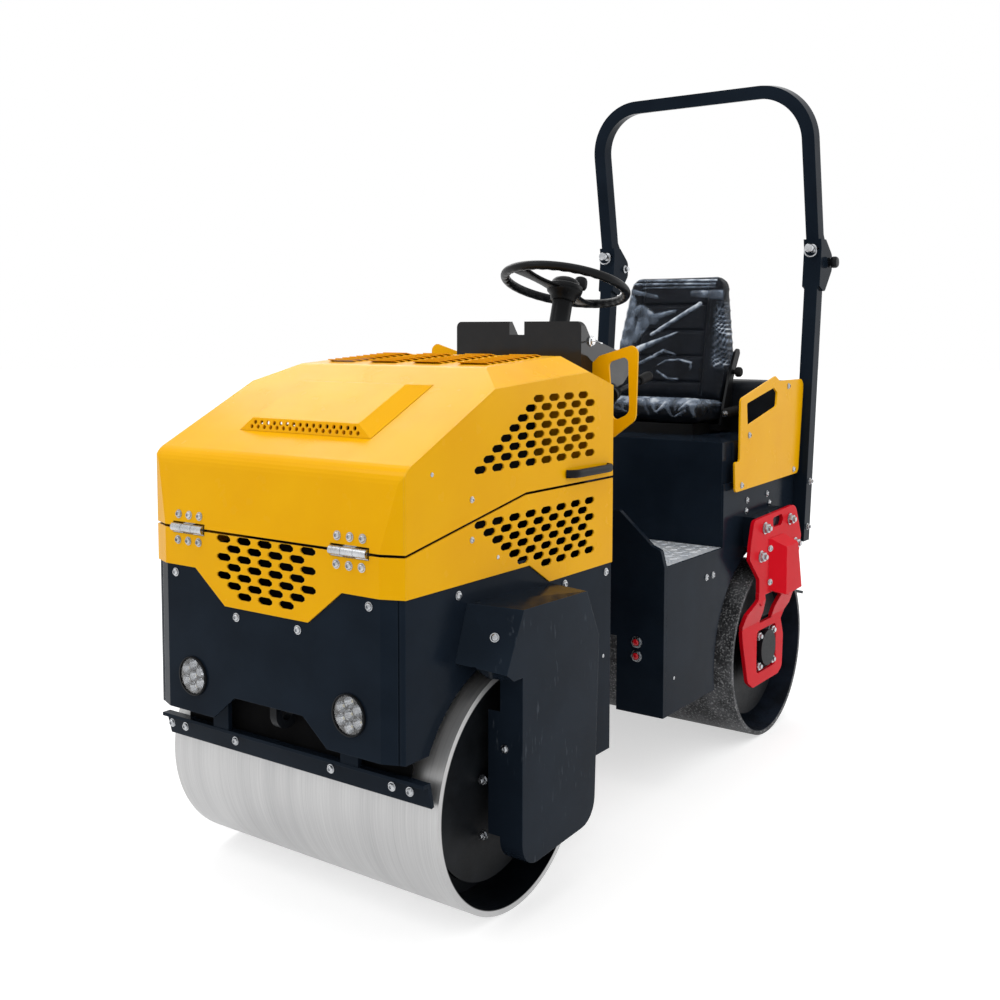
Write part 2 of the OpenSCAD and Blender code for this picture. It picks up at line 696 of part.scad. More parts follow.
// Rear frame
module rear_chassis() {
  color(dark) station() {
    box([-panel_x, toe_y + toe_t, rear_deck_z - 12], [panel_x, back_y, rear_deck_z]);
    for (s = [-1, 1])
      box([s * 300 - 8, toe_y + toe_t, 460], [s * 300 + 8, toe_y + toe_t + 300, rear_deck_z - 12]);
    g = barrel_y;
    box([-cyl_x - 45, g + 26, cyl_z - 34], [-cyl_x + 45, g + 42, rear_deck_z - 12]);
    translate([0, 0, cyl_z - 34]) linear_extrude(18)
      polygon(concat([[-cyl_x + 40, g + 30], [-cyl_x - 40, g + 30]], arc([-cyl_x, g], 26, 190, 350, 10)));
    bar_z(10, cyl_z - 20, cyl_z + 18, -cyl_x, g);
  }
}
module toe_board() {
  color(black) station() difference() {
    front_plate(toe_y, toe_y + toe_t) polygon(rounded([[-235, toe_z], [-311, toe_z - 66],
      [-340, toe_z - 92],
      [-368, toe_z - 102], [-half, floor_z], [-half, step_low], [half, step_low], [half, floor_z],
      [368, toe_z - 102], [340, toe_z - 92], [311, toe_z - 66], [235, toe_z]],
      [16, 40, 20, 14, 0, 0, 0, 0, 14, 20, 40, 16], 5));
    box([-230, toe_y - 5, step_low - 5], [230, toe_y + toe_t + 5, yoke_low - 2]);
  }
}
function yoke_plan() = concat([[140, toe_y], [-140, toe_y]], arc([0, pivot_y], 72, 195, 345, 16));
module rear_yoke() {
  color(red) station() {
    for (z = [yoke_low, yoke_high - yoke_t]) translate([0, 0,
      z]) linear_extrude(yoke_t) polygon(yoke_plan());
    for (s = [-1, 1]) box([s * 98 - 8, toe_y - 62, yoke_low + yoke_t],
      [s * 98 + 8, toe_y, yoke_high - yoke_t]);
    bar_z(pivot_d / 2, yoke_low, yoke_high, 0, pivot_y);
    bar_z(pivot_d / 2 + 14, yoke_high, yoke_high + 14, 0, pivot_y);
    bar_z(22, yoke_high + 14, yoke_high + 26, 0, pivot_y);
  }
}
module step_panel(s) {
  color(black) station() mirror([s > 0 ? 0 : 1, 0, 0]) difference() {
    side_plate(panel_x, half) polygon([[toe_y + toe_t, floor_z], [pedestal_y, floor_z],
      [pedestal_y, seat_deck_z - 125], [pedestal_y + 65, seat_deck_z - 125],
        [pedestal_y + 65, seat_deck_z - 5],
      [back_y, seat_deck_z - 5], [back_y, axle_z + 150], [wheelbase, axle_z], [wheelbase - 200, step_low],
      [toe_y + toe_t, step_low]]);
    bar_x(drum_r + rear_gap, panel_x - 5, half + 5, wheelbase, axle_z);
  }
}
module step_left() { step_panel(1); }
module step_right() { step_panel(-1); }
module floor_tread() {
  color("#3b3d40") station() box([-panel_x, toe_y + toe_t, rear_deck_z], [panel_x, pedestal_y, floor_z]);
}
module seat_base() {
  color(black) station() difference() {
    box([-panel_x, pedestal_y, rear_deck_z], [panel_x, back_y, seat_deck_z]);
    box([-panel_x + 5, pedestal_y + 5, rear_deck_z - 5], [panel_x - 5, back_y - 5, seat_deck_z - 5]);
  }
}
module water_tank() {
  color(black) station()
    side_plate(-panel_x, panel_x) polygon(rounded([[back_y - 172, seat_deck_z], [back_y - 160, tank_z],
      [back_y, tank_z], [back_y, seat_deck_z]], [0, 30, 20, 0]));
}
// Yellow side panel on four spacers
module side_panel(s) {
  color(yellow) station() mirror([s > 0 ? 0 : 1, 0, 0]) translate([0, wheelbase, seat_deck_z]) union() {
    difference() {
      side_plate(half + 14, half + 14 + plate) polygon(rounded([[-256, -61], [-220, -61], [-218, 130],
        [52, 192],
        [86, 176], [298, 176], [262, -141], [-250, -154]], [8, 8, 18, 5, 6, 28, 22, 12]));
      side_plate(half, half + 20 + plate) polygon(rounded([[-172, 114], [39, 155], [68, 138],
        [61, 94], [-165, 45]],
        [6, 6, 8, 10, 6]));
    }
    for (p = [[219, -126], [-204, -136], [-152, -25]]) bar_x(9, half, half + 14, p[0], p[1]);
    bar_x(9, panel_x, half + 14, 161, 156);
  }
}
module side_panel_left() { side_panel(1); }
module side_panel_right() { side_panel(-1); }
module rear_plate() {
  color(black) station() {
    front_plate(back_y, back_y + 12) polygon([[-half, foot_z], [half, foot_z], [half, seat_deck_z - 20],
      [panel_x, tank_z - 30], [-panel_x, tank_z - 30], [-half, seat_deck_z - 20]]);
    // Towing eye
    difference() {
      union() {
        box([-12, back_y + 12, 600], [12, back_y + 50, 668]);
        bar_x(34, -12, 12, back_y + 50, 634);
      }
      bar_x(16, -20, 20, back_y + 50, 634);
    }
  }
}
module hanger_blocks() {
  color(black) station() for (s = [-1, 1]) mirror([s > 0 ? 0 : 1, 0, 0])
    box([half, wheelbase - 140, drum_d + rear_gap + 6], [sup_up_in, wheelbase + 140, 722]);
}
function support_up() = rounded([[-172, 717], [165, 731], [219, 621], [203, 566], [165, 466],
  [120, 430], [82, 470],
  [-82, 470], [-100, 430], [-124, 456], [-127, 527], [-203, 599], [-197, 640]],
  [22, 46, 12, 20, 14, 8, 10, 10, 8, 8, 14, 10, 14], 5);
// Faceted cover on the outside of a support
module support_cover() {
  x1 = sup_up_out + 32;
  intersection() {
    side_plate(sup_up_out, x1) polygon([[-58, 482], [-60, 645], [58, 648], [111, 618], [150, 460],
      [20, 456]]);
    translate([0, 0, 400]) linear_extrude(300) polygon([[sup_up_out - 1, -64], [x1, 16], [x1, 160],
      [sup_up_out - 1, 160]]);
    front_plate(-100, 200) polygon([[sup_up_out - 1, 440], [x1, 448], [x1, 612], [sup_up_out - 1, 652]]);
  }
}
// Wings bent in from the upper plate to the ring round the motor
module support_wings() {
  intersection() {
    front_plate(-230, 230) polygon([[sup_low_in, 345], [sup_low_out, 345], [sup_low_out, 376],
      [sup_up_out, 452],
      [sup_up_out, 482], [sup_up_in, 482], [sup_up_in, 456], [sup_low_in, 380]]);
    union() {
      side_plate(sup_low_in - 1, sup_up_out + 1)
        polygon([[-127, 482], [-84, 482], [-58, 410], [-58, 346], [-172, 346], [-196, 384],
          [-190, 424], [-127, 462]]);
      side_plate(sup_low_in - 1, sup_up_out + 1)
        polygon([[165, 482], [86, 482], [40, 410], [40, 346], [110, 346], [172, 398]]);
    }
  }
}
module rear_support(s) {
  color(red) station() mirror([s > 0 ? 0 : 1, 0, 0]) translate([0, wheelbase, 0]) union() {
    difference() {
      side_plate(sup_up_in, sup_up_out) polygon(support_up());
      side_plate(sup_up_in - 1, sup_up_out + 1) polygon(rounded([[-26, 708], [46, 713], [60, 696],
        [47, 677], [-22, 677]],
        [8, 8, 6, 8, 8], 4));
    }
    support_cover();
    support_wings();
    difference() {
      side_plate(sup_low_in, sup_low_out) polygon(rounded([[-196, 384], [-166, 370], [110, 370],
        [140, 296], [134, 186], [100, 170],
        [-104, 170], [-144, 196], [-186, 330]], [10, 0, 20, 20, 24, 20, 24, 24, 20], 5));
      side_plate(sup_low_in - 1, sup_low_out + 1) polygon(rounded([[-78, 346], [78, 346], [78, 208],
        [-78, 208]],
        [16, 16, 16, 16], 4));
    }
  }
}
module rear_support_left() { rear_support(1); }
module rear_support_right() { rear_support(-1); }
module rear_motors() {
  color(dark) station() for (s = [-1, 1]) mirror([s > 0 ? 0 : 1, 0, 0]) difference() {
    union() {
      box([sup_low_in - 12, wheelbase - 96, axle_z - 92], [sup_low_in, wheelbase + 96, axle_z + 92]);
      bar_x(66, drive_out + 6, sup_low_in - 12, wheelbase, axle_z);
      bar_x(58, sup_low_in, sup_low_out + 8, wheelbase, axle_z);
    }
    bar_x(stub_d / 2 + fit, drive_out, stub_rear + 6, wheelbase, axle_z);
  }
}
module rear_scraper() {
  y = wheelbase;
  color(black) station() {
    side_plate(-drum_half + 10, drum_half - 10) polygon([[y + 262, 412], [y + 268, 420],
      [y + 330, 404], [y + 328, 395]]);
    for (s = [-1, 1]) box([s * 250 - 30, back_y - 4, 400], [s * 250 + 30, back_y + 12, 590]);
  }
}
// Front face of a post at height z
function post_front(z) = foot_y + (z - foot_z) * tan(post_lean);
module rops_posts() {
  pin_z = fold_z - fold_drop;
  top_z = fold_z - 5;
  color(black) station() for (s = [-1, 1]) mirror([s > 0 ? 0 : 1, 0, 0]) {
    side_plate(tube_in, tube_out) polygon([[foot_y, foot_z], [foot_y + tube_y, foot_z],
      [post_front(top_z) + tube_y, top_z],
      [post_front(top_z), top_z]]);
    for (x = [tube_in - 8, tube_out])
      side_plate(x, x + 8) polygon(rounded([[post_front(fold_z - 130), fold_z - 130],
        [post_front(fold_z - 150) + tube_y, fold_z - 150], [fold_y + 25, pin_z - 26],
          [fold_y + 25, pin_z + 26],
        [post_top + tube_y - 6, fold_z + 30], [post_top - 5, fold_z + 30], [post_top, fold_z]],
          [0, 20, 24, 24, 0, 0, 0]));
    bar_x(fold_d / 2, tube_in - 8, tube_out + 8, fold_y, pin_z);
  }
}
module rops_hoop() {
  h = (rops_top - fold_z - tube_y * sin(hoop_lean)) / cos(hoop_lean);
  pin_z = fold_z - fold_drop;
  color(black) station() union() {
    translate([0, post_top, fold_z]) rotate([hoop_lean, 0, 0]) front_plate(0, tube_y) difference() {
      union() {
        translate([-hoop_out, 0]) square([2 * hoop_out, h - rops_bend]);
        translate([-hoop_out + rops_bend, 0]) square([2 * (hoop_out - rops_bend), h]);
        for (s = [-1, 1]) translate([s * (hoop_out - rops_bend), h - rops_bend]) circle(r = rops_bend);
      }
      translate([-hoop_in, -10]) square([2 * hoop_in, h - rops_bend + 10]);
      translate([-hoop_out + rops_bend, -10]) square([2 * (hoop_out - rops_bend), h - tube_x + 12]);
      for (s = [-1, 1]) translate([s * (hoop_out - rops_bend),
        h - rops_bend]) circle(r = rops_bend - tube_x + 2);
    }
    for (s = [-1, 1]) mirror([s > 0 ? 0 : 1, 0, 0]) difference() {
      side_plate(hoop_in + 2, hoop_out - 2) polygon(rounded([[post_top + tube_y - 6, fold_z + 2],
        [post_top + tube_y + 5, fold_z - 5],
        [fold_y - 20, pin_z - 20], [fold_y + 22, pin_z - 22], [fold_y + 22, pin_z + 20],
        [post_top + tube_y - 22, fold_z + 76], [post_top + tube_y - 24, fold_z + 20]],
          [0, 0, 14, 18, 18, 0, 0]));
      bar_x(fold_d / 2 + fit, tube_in - 20, tube_out + 20, fold_y, pin_z);
    }
  }
}

// Seat and controls
module seat_mount() {
  x = seat_w / 2 + 6.75;
  color(dark) station() translate([0, seat_y, seat_deck_z]) {
    box([-180, 25, 0], [180, 235, 35]);
    box([-x - 8, 145, 8], [x + 8, 225, 28]);
    for (s = [-1, 1]) side_plate(s > 0 ? x : -x - 8, s > 0 ? x + 8 : -x)
      polygon(rounded([[145, 8], [225, 8], [245, 172], [300, 262], [296, 275], [282, 278], [264, 268],
        [212, 176]],
        [10, 10, 40, 6, 6, 6, 10, 60]));
  }
}
module seat_cushion() {
  color("#17191c") station() translate([0, seat_y, seat_deck_z + 35])
    side_plate(-seat_w / 2, seat_w / 2) polygon(rounded([[-4, 8], [4, 82], [228, 62], [228, 0]],
      [30, 34, 24, 10]));
}
module seat_back() {
  w = seat_w / 2 + 7;
  h = seat_back_h;
  color("#17191c") station() translate([0, seat_y, seat_deck_z]) intersection() {
    side_plate(-w, w) polygon(rounded([[188, 108], [258, h], [318, h - 6], [246, 103]],
      [18, 30, 24, 10]));
    front_plate(0, 500) polygon(rounded([[-192, 88], [-w, 255], [-168, h + 2], [168, h + 2], [w, 255],
      [192, 88]],
      [20, 60, 50, 50, 60, 20]));
  }
}
// Side outline of the console below a front top at height h
function console_side(h, back) = [[0, -227], [0, h], [back, h], [back + 33, -43], [192, -80],
  [282, -112], [282, -137],
  [162, -227]];
module console() {
  w = dash_w / 2;
  color(black) station() difference() {
    translate([0, dash_y, dash_z]) union() {
      for (s = [-1, 1]) mirror([s > 0 ? 0 : 1, 0, 0]) intersection() {
        side_plate(25, w) polygon(console_side(0, 14));
        front_plate(-5, 300) polygon(rounded([[20, -230], [20, 0], [w, 0], [w, -230]], [0, 6, 16, 0]));
      }
      side_plate(-25, 25) polygon(console_side(-37, 29));
    }
    column_line() translate([0, 0, -column_l]) cylinder(r = column_r + 0.3, h = column_l);
  }
}
// Places a piece on the steering column's line, its zero at the wheel's centre
module column_line() {
  translate([0, wheel_y, wheel_z]) rotate([-wheel_tilt, 0, 0]) children();
}
module console_post() {
  color(black) station() difference() {
    box([-150, pivot_y + 50, yoke_high], [150, toe_y + toe_t, dash_z - 227]);
    box([-144, pivot_y + 56, yoke_high - 10], [144, toe_y + toe_t - 6, dash_z - 217]);
    box([-160, toe_y, 0], [160, toe_y + toe_t + 5, toe_z]);
  }
}
module steering_column() {
  color(black) station() column_line() {
    translate([0, 0, -column_l]) cylinder(r = column_r, h = column_l - 34);
    translate([0, 0, -36]) cylinder(r = 11, h = 30);
  }
}
module steering_wheel() {
  r = wheel_d / 2 - rim_d / 2;
  color("#191b1e") station() column_line() difference() {
    union() {
      rotate_extrude() translate([r, 0]) circle(r = rim_d / 2);
      translate([0, 0, -24]) cylinder(r = 48, h = 30);
      for (a = [99, 250]) rotate([0, 0, a]) translate([30, -26, -14]) cube([r - 30, 52, 14]);
      rotate([0, 0, 100]) translate([112, 0, -4]) cylinder(r = 8, h = 30);
      rotate([0, 0, 100]) translate([112, 0, 24]) cylinder(r = 20, h = 38);
    }
    translate([0, 0, -30]) cylinder(r = 11 + fit, h = 26);
  }
}
module grab_handle(s) {
  w = dash_w / 2;
  color(yellow) station() mirror([s > 0 ? 0 : 1, 0, 0]) translate([0, dash_y + 59, dash_z]) difference() {
    front_plate(0, 6) polygon(rounded([[w, -113], [w + 21, -94], [w + 123, -64], [w + 141, -77],
      [w + 136, -264],
      [w + 62, -319], [w, -297]], [0, 10, 14, 20, 30, 20, 0]));
    front_plate(-5, 15) polygon(rounded([[w + 51, -111], [w + 111, -93], [w + 116, -248], [w + 65, -272]],
      [14, 14, 24, 14]));
  }
}
module grab_handle_left() { grab_handle(1); }
module grab_handle_right() { grab_handle(-1); }
module drive_lever() {
  color(dark) station() translate([dash_w / 2, dash_y, dash_z]) {
    box([0, 132, -217], [14, 202, -187]);
    translate([8, 162, -202]) rotate([-78, 0, 0]) {
      cylinder(r = 7, h = 150);
      translate([0, 0, 150]) cylinder(r = 15, h = 70);
    }
  }
}

// Steering cylinder
module steer_barrel() {
  g = barrel_y;
  color(dark) station() difference() {
    union() {
      bar_y(23, rod_y + 80, g - 32, -cyl_x, cyl_z);
      bar_y(14, g - 34, g - 16, -cyl_x, cyl_z);
      bar_z(22, cyl_z - 15, cyl_z + 15, -cyl_x, g);
    }
    bar_z(10 + fit, 0, 1000, -cyl_x, g);
    bar_y(13, rod_y + 70, g - 50, -cyl_x, cyl_z);
  }
}
module steer_rod() {
  color(steel) station() difference() {
    union() {
      bar_y(12.5, rod_y + 22, rod_y + 190, -cyl_x, cyl_z);
      bar_z(26, cyl_z - 14.5, cyl_z + 14.5, cyl_front_x, rod_y);
    }
    bar_z(10 + pin_gap, 0, 1000, cyl_front_x, rod_y);
  }
}

rear_chassis();
toe_board();
rear_yoke();
step_left();
step_right();
floor_tread();
seat_base();
water_tank();
side_panel_left();
side_panel_right();
rear_plate();
seat_mount();
seat_cushion();
seat_back();
console();
console_post();
steering_column();
grab_handle_left();
grab_handle_right();
drive_lever();
hanger_blocks();
rear_support_left();
rear_support_right();
rear_motors();
rear_scraper();
rops_posts();
front_chassis();
front_bulkhead();
tongue();
skirt();
belt();
belt_hinges();
engine();
front_arm_left();
front_arm_right();
motor_guard_left();
motor_guard_right();
front_scraper();
head_lamps();
hood_shell();
hood_side_left();
hood_side_right();
hood_scoop();
hood_hinges();
hood_handles();
front_drum_shell();
front_drum_drive();
rear_drum_shell();
rear_drum_drive();
rops_hoop();
steering_wheel();
steer_barrel();
steer_rod();
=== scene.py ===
# %% [markdown]
# # A tandem road roller, finished in Blender
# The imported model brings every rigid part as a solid: bent sheet, drums, frames, roll bar.
# This lesson gives those solids their real finishes, and adds what a person sees from a step
# away: bolts, lamps, the padded seat in its shipping film, the moulded steering wheel.

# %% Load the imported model
import math

import bmesh
import bpy
import numpy as np
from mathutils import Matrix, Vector


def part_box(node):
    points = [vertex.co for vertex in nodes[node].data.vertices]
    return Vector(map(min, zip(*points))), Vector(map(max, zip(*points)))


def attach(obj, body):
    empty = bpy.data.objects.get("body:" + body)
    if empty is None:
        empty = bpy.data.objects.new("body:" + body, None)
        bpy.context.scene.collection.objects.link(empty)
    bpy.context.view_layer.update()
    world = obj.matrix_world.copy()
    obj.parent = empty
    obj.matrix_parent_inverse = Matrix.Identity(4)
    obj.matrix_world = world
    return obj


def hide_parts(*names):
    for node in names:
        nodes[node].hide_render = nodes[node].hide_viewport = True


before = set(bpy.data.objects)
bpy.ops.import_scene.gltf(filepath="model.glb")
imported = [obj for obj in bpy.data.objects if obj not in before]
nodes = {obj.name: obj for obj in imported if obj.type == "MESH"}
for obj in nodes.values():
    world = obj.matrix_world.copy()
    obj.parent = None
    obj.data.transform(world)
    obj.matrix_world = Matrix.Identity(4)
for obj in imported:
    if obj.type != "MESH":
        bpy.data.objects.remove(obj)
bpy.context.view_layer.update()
scene = bpy.context.scene

# %% [markdown]
# ## Measures
# A machine drawing counts its stations from a drum axle, in millimetres. Blender counts metres
# from the middle of the whole machine. One function turns the first into the second. A few more
# give the angles, powers and limits that the grids of points below are made from.

# %% Stations
MM = 0.001
front_axle = np.array(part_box("front_drum_shell")).mean(0)
rear_axle = np.array(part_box("rear_drum_shell")).mean(0)


def station(points):
    """Points in mm, counted from the ground under the front drum axle, become metres in the frame."""
    return np.asarray(points, float) * MM + [0, front_axle[1], 0]


def in_mm(points):
    """Points of the frame back to stations in mm."""
    return (np.asarray(points) - [0, front_axle[1], 0]) / MM


def mirrored(points):
    """The points, and the same points on the machine's other side."""
    points = np.asarray(points, float)
    return np.concatenate([points, points * [-1, 1, 1]])


def turns(count):
    """Angles evenly spaced round a full turn."""
    return np.linspace(0, 2 * np.pi, count, endpoint=False)


def signed(value, power):
    """A value's size raised to a power, with its sign kept."""
    return np.sign(value) * np.abs(value) ** power


def unit(value):
    """A value held between nought and one."""
    return np.clip(value, 0, 1)


print("axles", front_axle.round(3), rear_axle.round(3))

# %% [markdown]
# ## Camera
# The picture was taken from the front left corner, a little above the hood and looking slightly
# down, with the lens axis above the middle of the picture. The shift keeps the posts nearly upright.

# %% Camera
def linked(name, data):
    """A new object in the scene."""
    thing = bpy.data.objects.new(name, data)
    scene.collection.objects.link(thing)
    return thing


heading, dip, roll = np.radians([35.18, 4.06, 0.08])
camera = linked("camera", bpy.data.cameras.new("camera"))
camera.location = station((1874.5, -2122.0, 1296.9))
camera.rotation_euler = (math.pi / 2 - dip, -roll, heading)
camera.data.sensor_width = 36
camera.data.lens = 42.404
camera.data.shift_x = -0.0043
camera.data.shift_y = -0.0841
scene.camera = camera
print("camera at", [round(x, 2) for x in camera.location])

# %% [markdown]
# ## Studio
# A white sweep with soft boxes round it. The world is white for the rays that the camera, gloss
# and glass follow, and a little dimmer for the rest, so the boxes shape the machine.

# %% Node helper and colours
def feed(tree, node, inputs):
    """Each input socket of a node is linked to another node's output, or set to a value."""
    for key, value in inputs.items():
        if isinstance(value, bpy.types.NodeSocket):
            tree.links.new(value, node.inputs[key])
        else:
            node.inputs[key].default_value = value


def add(tree, kind, inputs=None, **settings):
    """Adds one shader node: settings are its properties, inputs its sockets, linked or set."""
    node = tree.nodes.new("ShaderNode" + kind)
    for key, value in settings.items():
        setattr(node, key, value)
    feed(tree, node, inputs or {})
    return node


def linear(code):
    """An sRGB hex colour as linear light with full alpha."""
    c = np.array([int(code[i:i + 2], 16) for i in (1, 3, 5)]) / 255
    return (*np.where(c <= 0.04045, c / 12.92, ((c + 0.055) / 1.055) ** 2.4), 1.0)


def backdrop_rays(tree):
    """1 for the rays that should see the plain background: camera, glossy and transmission rays."""
    path = add(tree, "LightPath")
    seen = add(tree, "Math", {0: path.outputs["Is Camera Ray"], 1: path.outputs["Is Glossy Ray"]},
               operation="MAXIMUM")
    return add(tree, "Math", {0: seen.outputs[0], 1: path.outputs["Is Transmission Ray"]},
               operation="MAXIMUM").outputs[0]


print("yellow in linear light", np.round(linear("#F2B200"), 3))

# %% World, floor and soft boxes
WHITE, FILL = 1.0, 0.97
world = bpy.data.worlds.new("white_sweep")
world.use_nodes = True
scene.world = world
tree = world.node_tree
tree.nodes.clear()
seen = add(tree, "Background", {"Color": (1, 1, 1, 1), "Strength": WHITE})
fill = add(tree, "Background", {"Color": (1, 1, 1, 1), "Strength": FILL})
mix = add(tree, "MixShader", {0: backdrop_rays(tree), 1: fill.outputs[0], 2: seen.outputs[0]})
add(tree, "OutputWorld", {"Surface": mix.outputs[0]})

turn = turns(96)
reach = np.array([0.0, 2.0, 8.0, 40.0])[:, None]
rings = np.stack([reach * np.cos(turn), reach * np.sin(turn), 0 * reach * turn], -1)


def grid_quads(copies, rows, columns, wrap):
    """Quads that join neighbouring points of each copy of a grid; wrap joins last column to first."""
    r, c = np.meshgrid(np.arange(rows - 1), np.arange(columns - (not wrap)), indexing="ij")
    a, b = r * columns + c, r * columns + (c + 1) % columns
    one = np.stack([a, b, b + columns, a + columns], -1).reshape(1, -1, 4)
    return (one + (np.arange(copies) * rows * columns)[:, None, None]).reshape(-1, 4)


def merged(mesh, near, thin=0.0):
    """Points nearer than that merge, edges shorter than thin go, and all faces turn outwards."""
    shell = bmesh.new()
    shell.from_mesh(mesh)
    bmesh.ops.remove_doubles(shell, verts=shell.verts, dist=near)
    if thin:
        bmesh.ops.dissolve_degenerate(shell, edges=shell.edges, dist=thin)
    bmesh.ops.recalc_face_normals(shell, faces=shell.faces)
    shell.to_mesh(mesh)
    shell.free()


def shade_smooth(mesh):
    """All faces of a mesh are shaded smooth."""
    mesh.polygons.foreach_set("use_smooth", np.ones(len(mesh.polygons), bool))


def mesh_of(name, grids, sharp=35):
    """A smooth mesh from grids of points, each (..., rows, columns, 3), whose columns go round. Merged
    points close poles and seams, and edges that bend more than the angle stay sharp."""
    points, faces, start = [], [], 0
    for grid in grids:
        rows, columns = grid.shape[-3:-1]
        copies = grid.size // (rows * columns * 3)
        faces.append(grid_quads(copies, rows, columns, True) + start)
        points.append(grid.reshape(-1, 3))
        start += points[-1].shape[0]
    mesh = bpy.data.meshes.new(name)
    mesh.from_pydata(np.concatenate(points).tolist(), [], np.concatenate(faces).tolist())
    merged(mesh, 2e-5, 1e-6)
    shade_smooth(mesh)
    mesh.set_sharp_from_angle(angle=math.radians(sharp))
    return mesh


floor = linked("floor", mesh_of("floor", [rings]))
paper = bpy.data.materials.new("studio_paper")
paper.use_nodes = True
tree = paper.node_tree
tree.nodes.clear()
lit = add(tree, "BsdfDiffuse", {"Color": (0.62, 0.62, 0.62, 1)})
glow = add(tree, "Emission", {"Color": (1, 1, 1, 1), "Strength": 0.55})
both = add(tree, "AddShader", {0: lit.outputs[0], 1: glow.outputs[0]})
mix = add(tree, "MixShader", {0: backdrop_rays(tree), 1: lit.outputs[0], 2: both.outputs[0]})
add(tree, "OutputMaterial", {"Surface": mix.outputs[0]})
floor.data.materials.append(paper)


def soft_box(name, towards, distance, size, radiance):
    """A square soft box that looks back at the machine's middle; its radiance is in units of white."""
    towards = Vector(towards).normalized()
    lamp = bpy.data.lights.new(name, "AREA")
    lamp.shape, lamp.size = "SQUARE", size
    lamp.energy = radiance * math.pi * size ** 2
    box = linked(name, lamp)
    box.location = Vector((0, 0, 0.9)) + towards * distance
    box.rotation_euler = towards.to_track_quat("Z", "Y").to_euler()


soft_box("overhead", (0.05, -0.1, 1), 4.2, 3.2, 0.95)
soft_box("key", (-0.42, -0.62, 0.66), 4.8, 1.3, 4.0)
soft_box("left_rear", (0.62, 0.76, 0.22), 5.0, 2.4, 1.2)
soft_box("slope_glow", (-0.69, 0.38, 0.62), 5.0, 2.4, 2.8)
print("world", WHITE, "fill", FILL, "boxes 4")

# %% [markdown]
# ## Finishes
# Sheet steel on such machines is blasted and powder coated: an even colour with a faint orange
# peel of a few millimetres, a soft gloss, and edges drawn lighter as a painted highlight. Each finish here is
# a function named for the real material. Patterns are noise at a size in millimetres.

# %% Powder coat
def finish_tree(name, **sockets):
    """A new material with one Principled shader whose constant sockets are set directly."""
    material = bpy.data.materials.new(name)
    material.use_nodes = True
    tree = material.node_tree
    shader = tree.nodes["Principled BSDF"]
    feed(tree, shader, {key.replace("_", " "): value for key, value in sockets.items()})
    place = add(tree, "TexCoord").outputs["Object"]
    return material, tree, shader, place


def noise(tree, place, size, detail=2.0, stretch=(1, 1, 1)):
    """Fractal noise whose cells measure that many mm; a stretch below one draws them out that way."""
    drawn = add(tree, "Mapping", {"Vector": place, "Scale": stretch}).outputs[0]
    return add(tree, "TexNoise", {"Vector": drawn, "Scale": 1 / (size * MM), "Detail": detail}).outputs["Fac"]


def ramp(tree, value, stops):
    """A colour band over a value: stops are (position, hex colour)."""
    band = add(tree, "ValToRGB", {"Fac": value})
    for i, (at, code) in enumerate(stops):
        stop = band.color_ramp.elements[i] if i < 2 else band.color_ramp.elements.new(at)
        stop.position, stop.color = at, linear(code)
    return band.outputs["Color"]


def levels(tree, value, low, high, out_low, out_high):
    """A value mapped from one range to another, held inside it."""
    return add(tree, "MapRange", {"Value": value, "From Min": low, "From Max": high,
                                  "To Min": out_low, "To Max": out_high}).outputs[0]


def mixed(tree, share, first, second):
    """Two colours mixed by a share."""
    return add(tree, "Mix", {0: share, 6: first, 7: second}, data_type="RGBA").outputs[2]


def bumped(tree, height, strength, distance, **more):
    """A normal bent by a height; the distance is in metres."""
    return add(tree, "Bump", {"Height": height, "Strength": strength, "Distance": distance,
                              **more}).outputs[0]


def powder_coat(name, main, shade, edge, rough, scuff=None, **sockets):
    """Polyester powder coat baked on steel: colour varies a little from cloud to cloud of 160 mm,
    orange peel of 5 mm, edges 2 mm round drawn lighter as a painted highlight. Scuffs are upright
    smears, 9 mm wide, that show only inside patches of 120 mm."""
    material, tree, shader, place = finish_tree(name, **sockets)
    cloud = noise(tree, place, 160, 4)
    colour = ramp(tree, cloud, [(0.35, shade), (0.62, main)])
    round_edge = add(tree, "Bevel", {"Radius": 0.0022}, samples=4).outputs[0]
    flat = add(tree, "NewGeometry").outputs["True Normal"]
    bend = add(tree, "VectorMath", {0: round_edge, 1: flat}, operation="DOT_PRODUCT").outputs["Value"]
    # Edges 2 mm round are drawn in the lighter edge colour: a painted highlight.
    thin = levels(tree, bend, 0.985, 0.80, 0.0, 0.55)
    highlit_and_scuffed = mixed(tree, thin, colour, linear(edge))
    if scuff:
        smear = levels(tree, noise(tree, place, 9, 3, (1, 1, 0.22)), 0.60, 0.74, 0.0, 0.5)
        patch = levels(tree, noise(tree, place, 120, 2), 0.50, 0.66, 0.0, 1.0)
        both = add(tree, "Math", {0: smear, 1: patch}, operation="MULTIPLY").outputs[0]
        highlit_and_scuffed = mixed(tree, both, highlit_and_scuffed, linear(scuff))
    gloss = levels(tree, noise(tree, place, 55, 5), 0.3, 0.7, rough - 0.04, rough + 0.07)
    peel = bumped(tree, noise(tree, place, 5, 1), 0.06, 0.0006, Normal=round_edge)
    feed(tree, shader, {"Base Color": highlit_and_scuffed, "Roughness": gloss, "Normal": peel})
    return material


# The third colour of each coat is a lighter edge colour: painted highlight.
yellow = powder_coat("yellow_powder_coat", "#F2B200", "#EEAC00", "#F8CC4A", 0.22,
                     Specular_IOR_Level=0.07)
black = powder_coat("black_powder_coat", "#18202A", "#131A23", "#303B48", 0.16,
                    Specular_IOR_Level=0.035, Specular_Tint=(0.66, 0.83, 1.0, 1))
scuffed = powder_coat("scuffed_black_coat", "#1A222C", "#151C25", "#343F4B", 0.20, scuff="#5A616A",
                      Specular_IOR_Level=0.05, Specular_Tint=(0.66, 0.83, 1.0, 1))
red = powder_coat("red_powder_coat", "#DA0C20", "#D00A1C", "#F0606A", 0.20,
                  Specular_IOR_Level=0.03)
print("coats", yellow.name, black.name, scuffed.name, red.name)
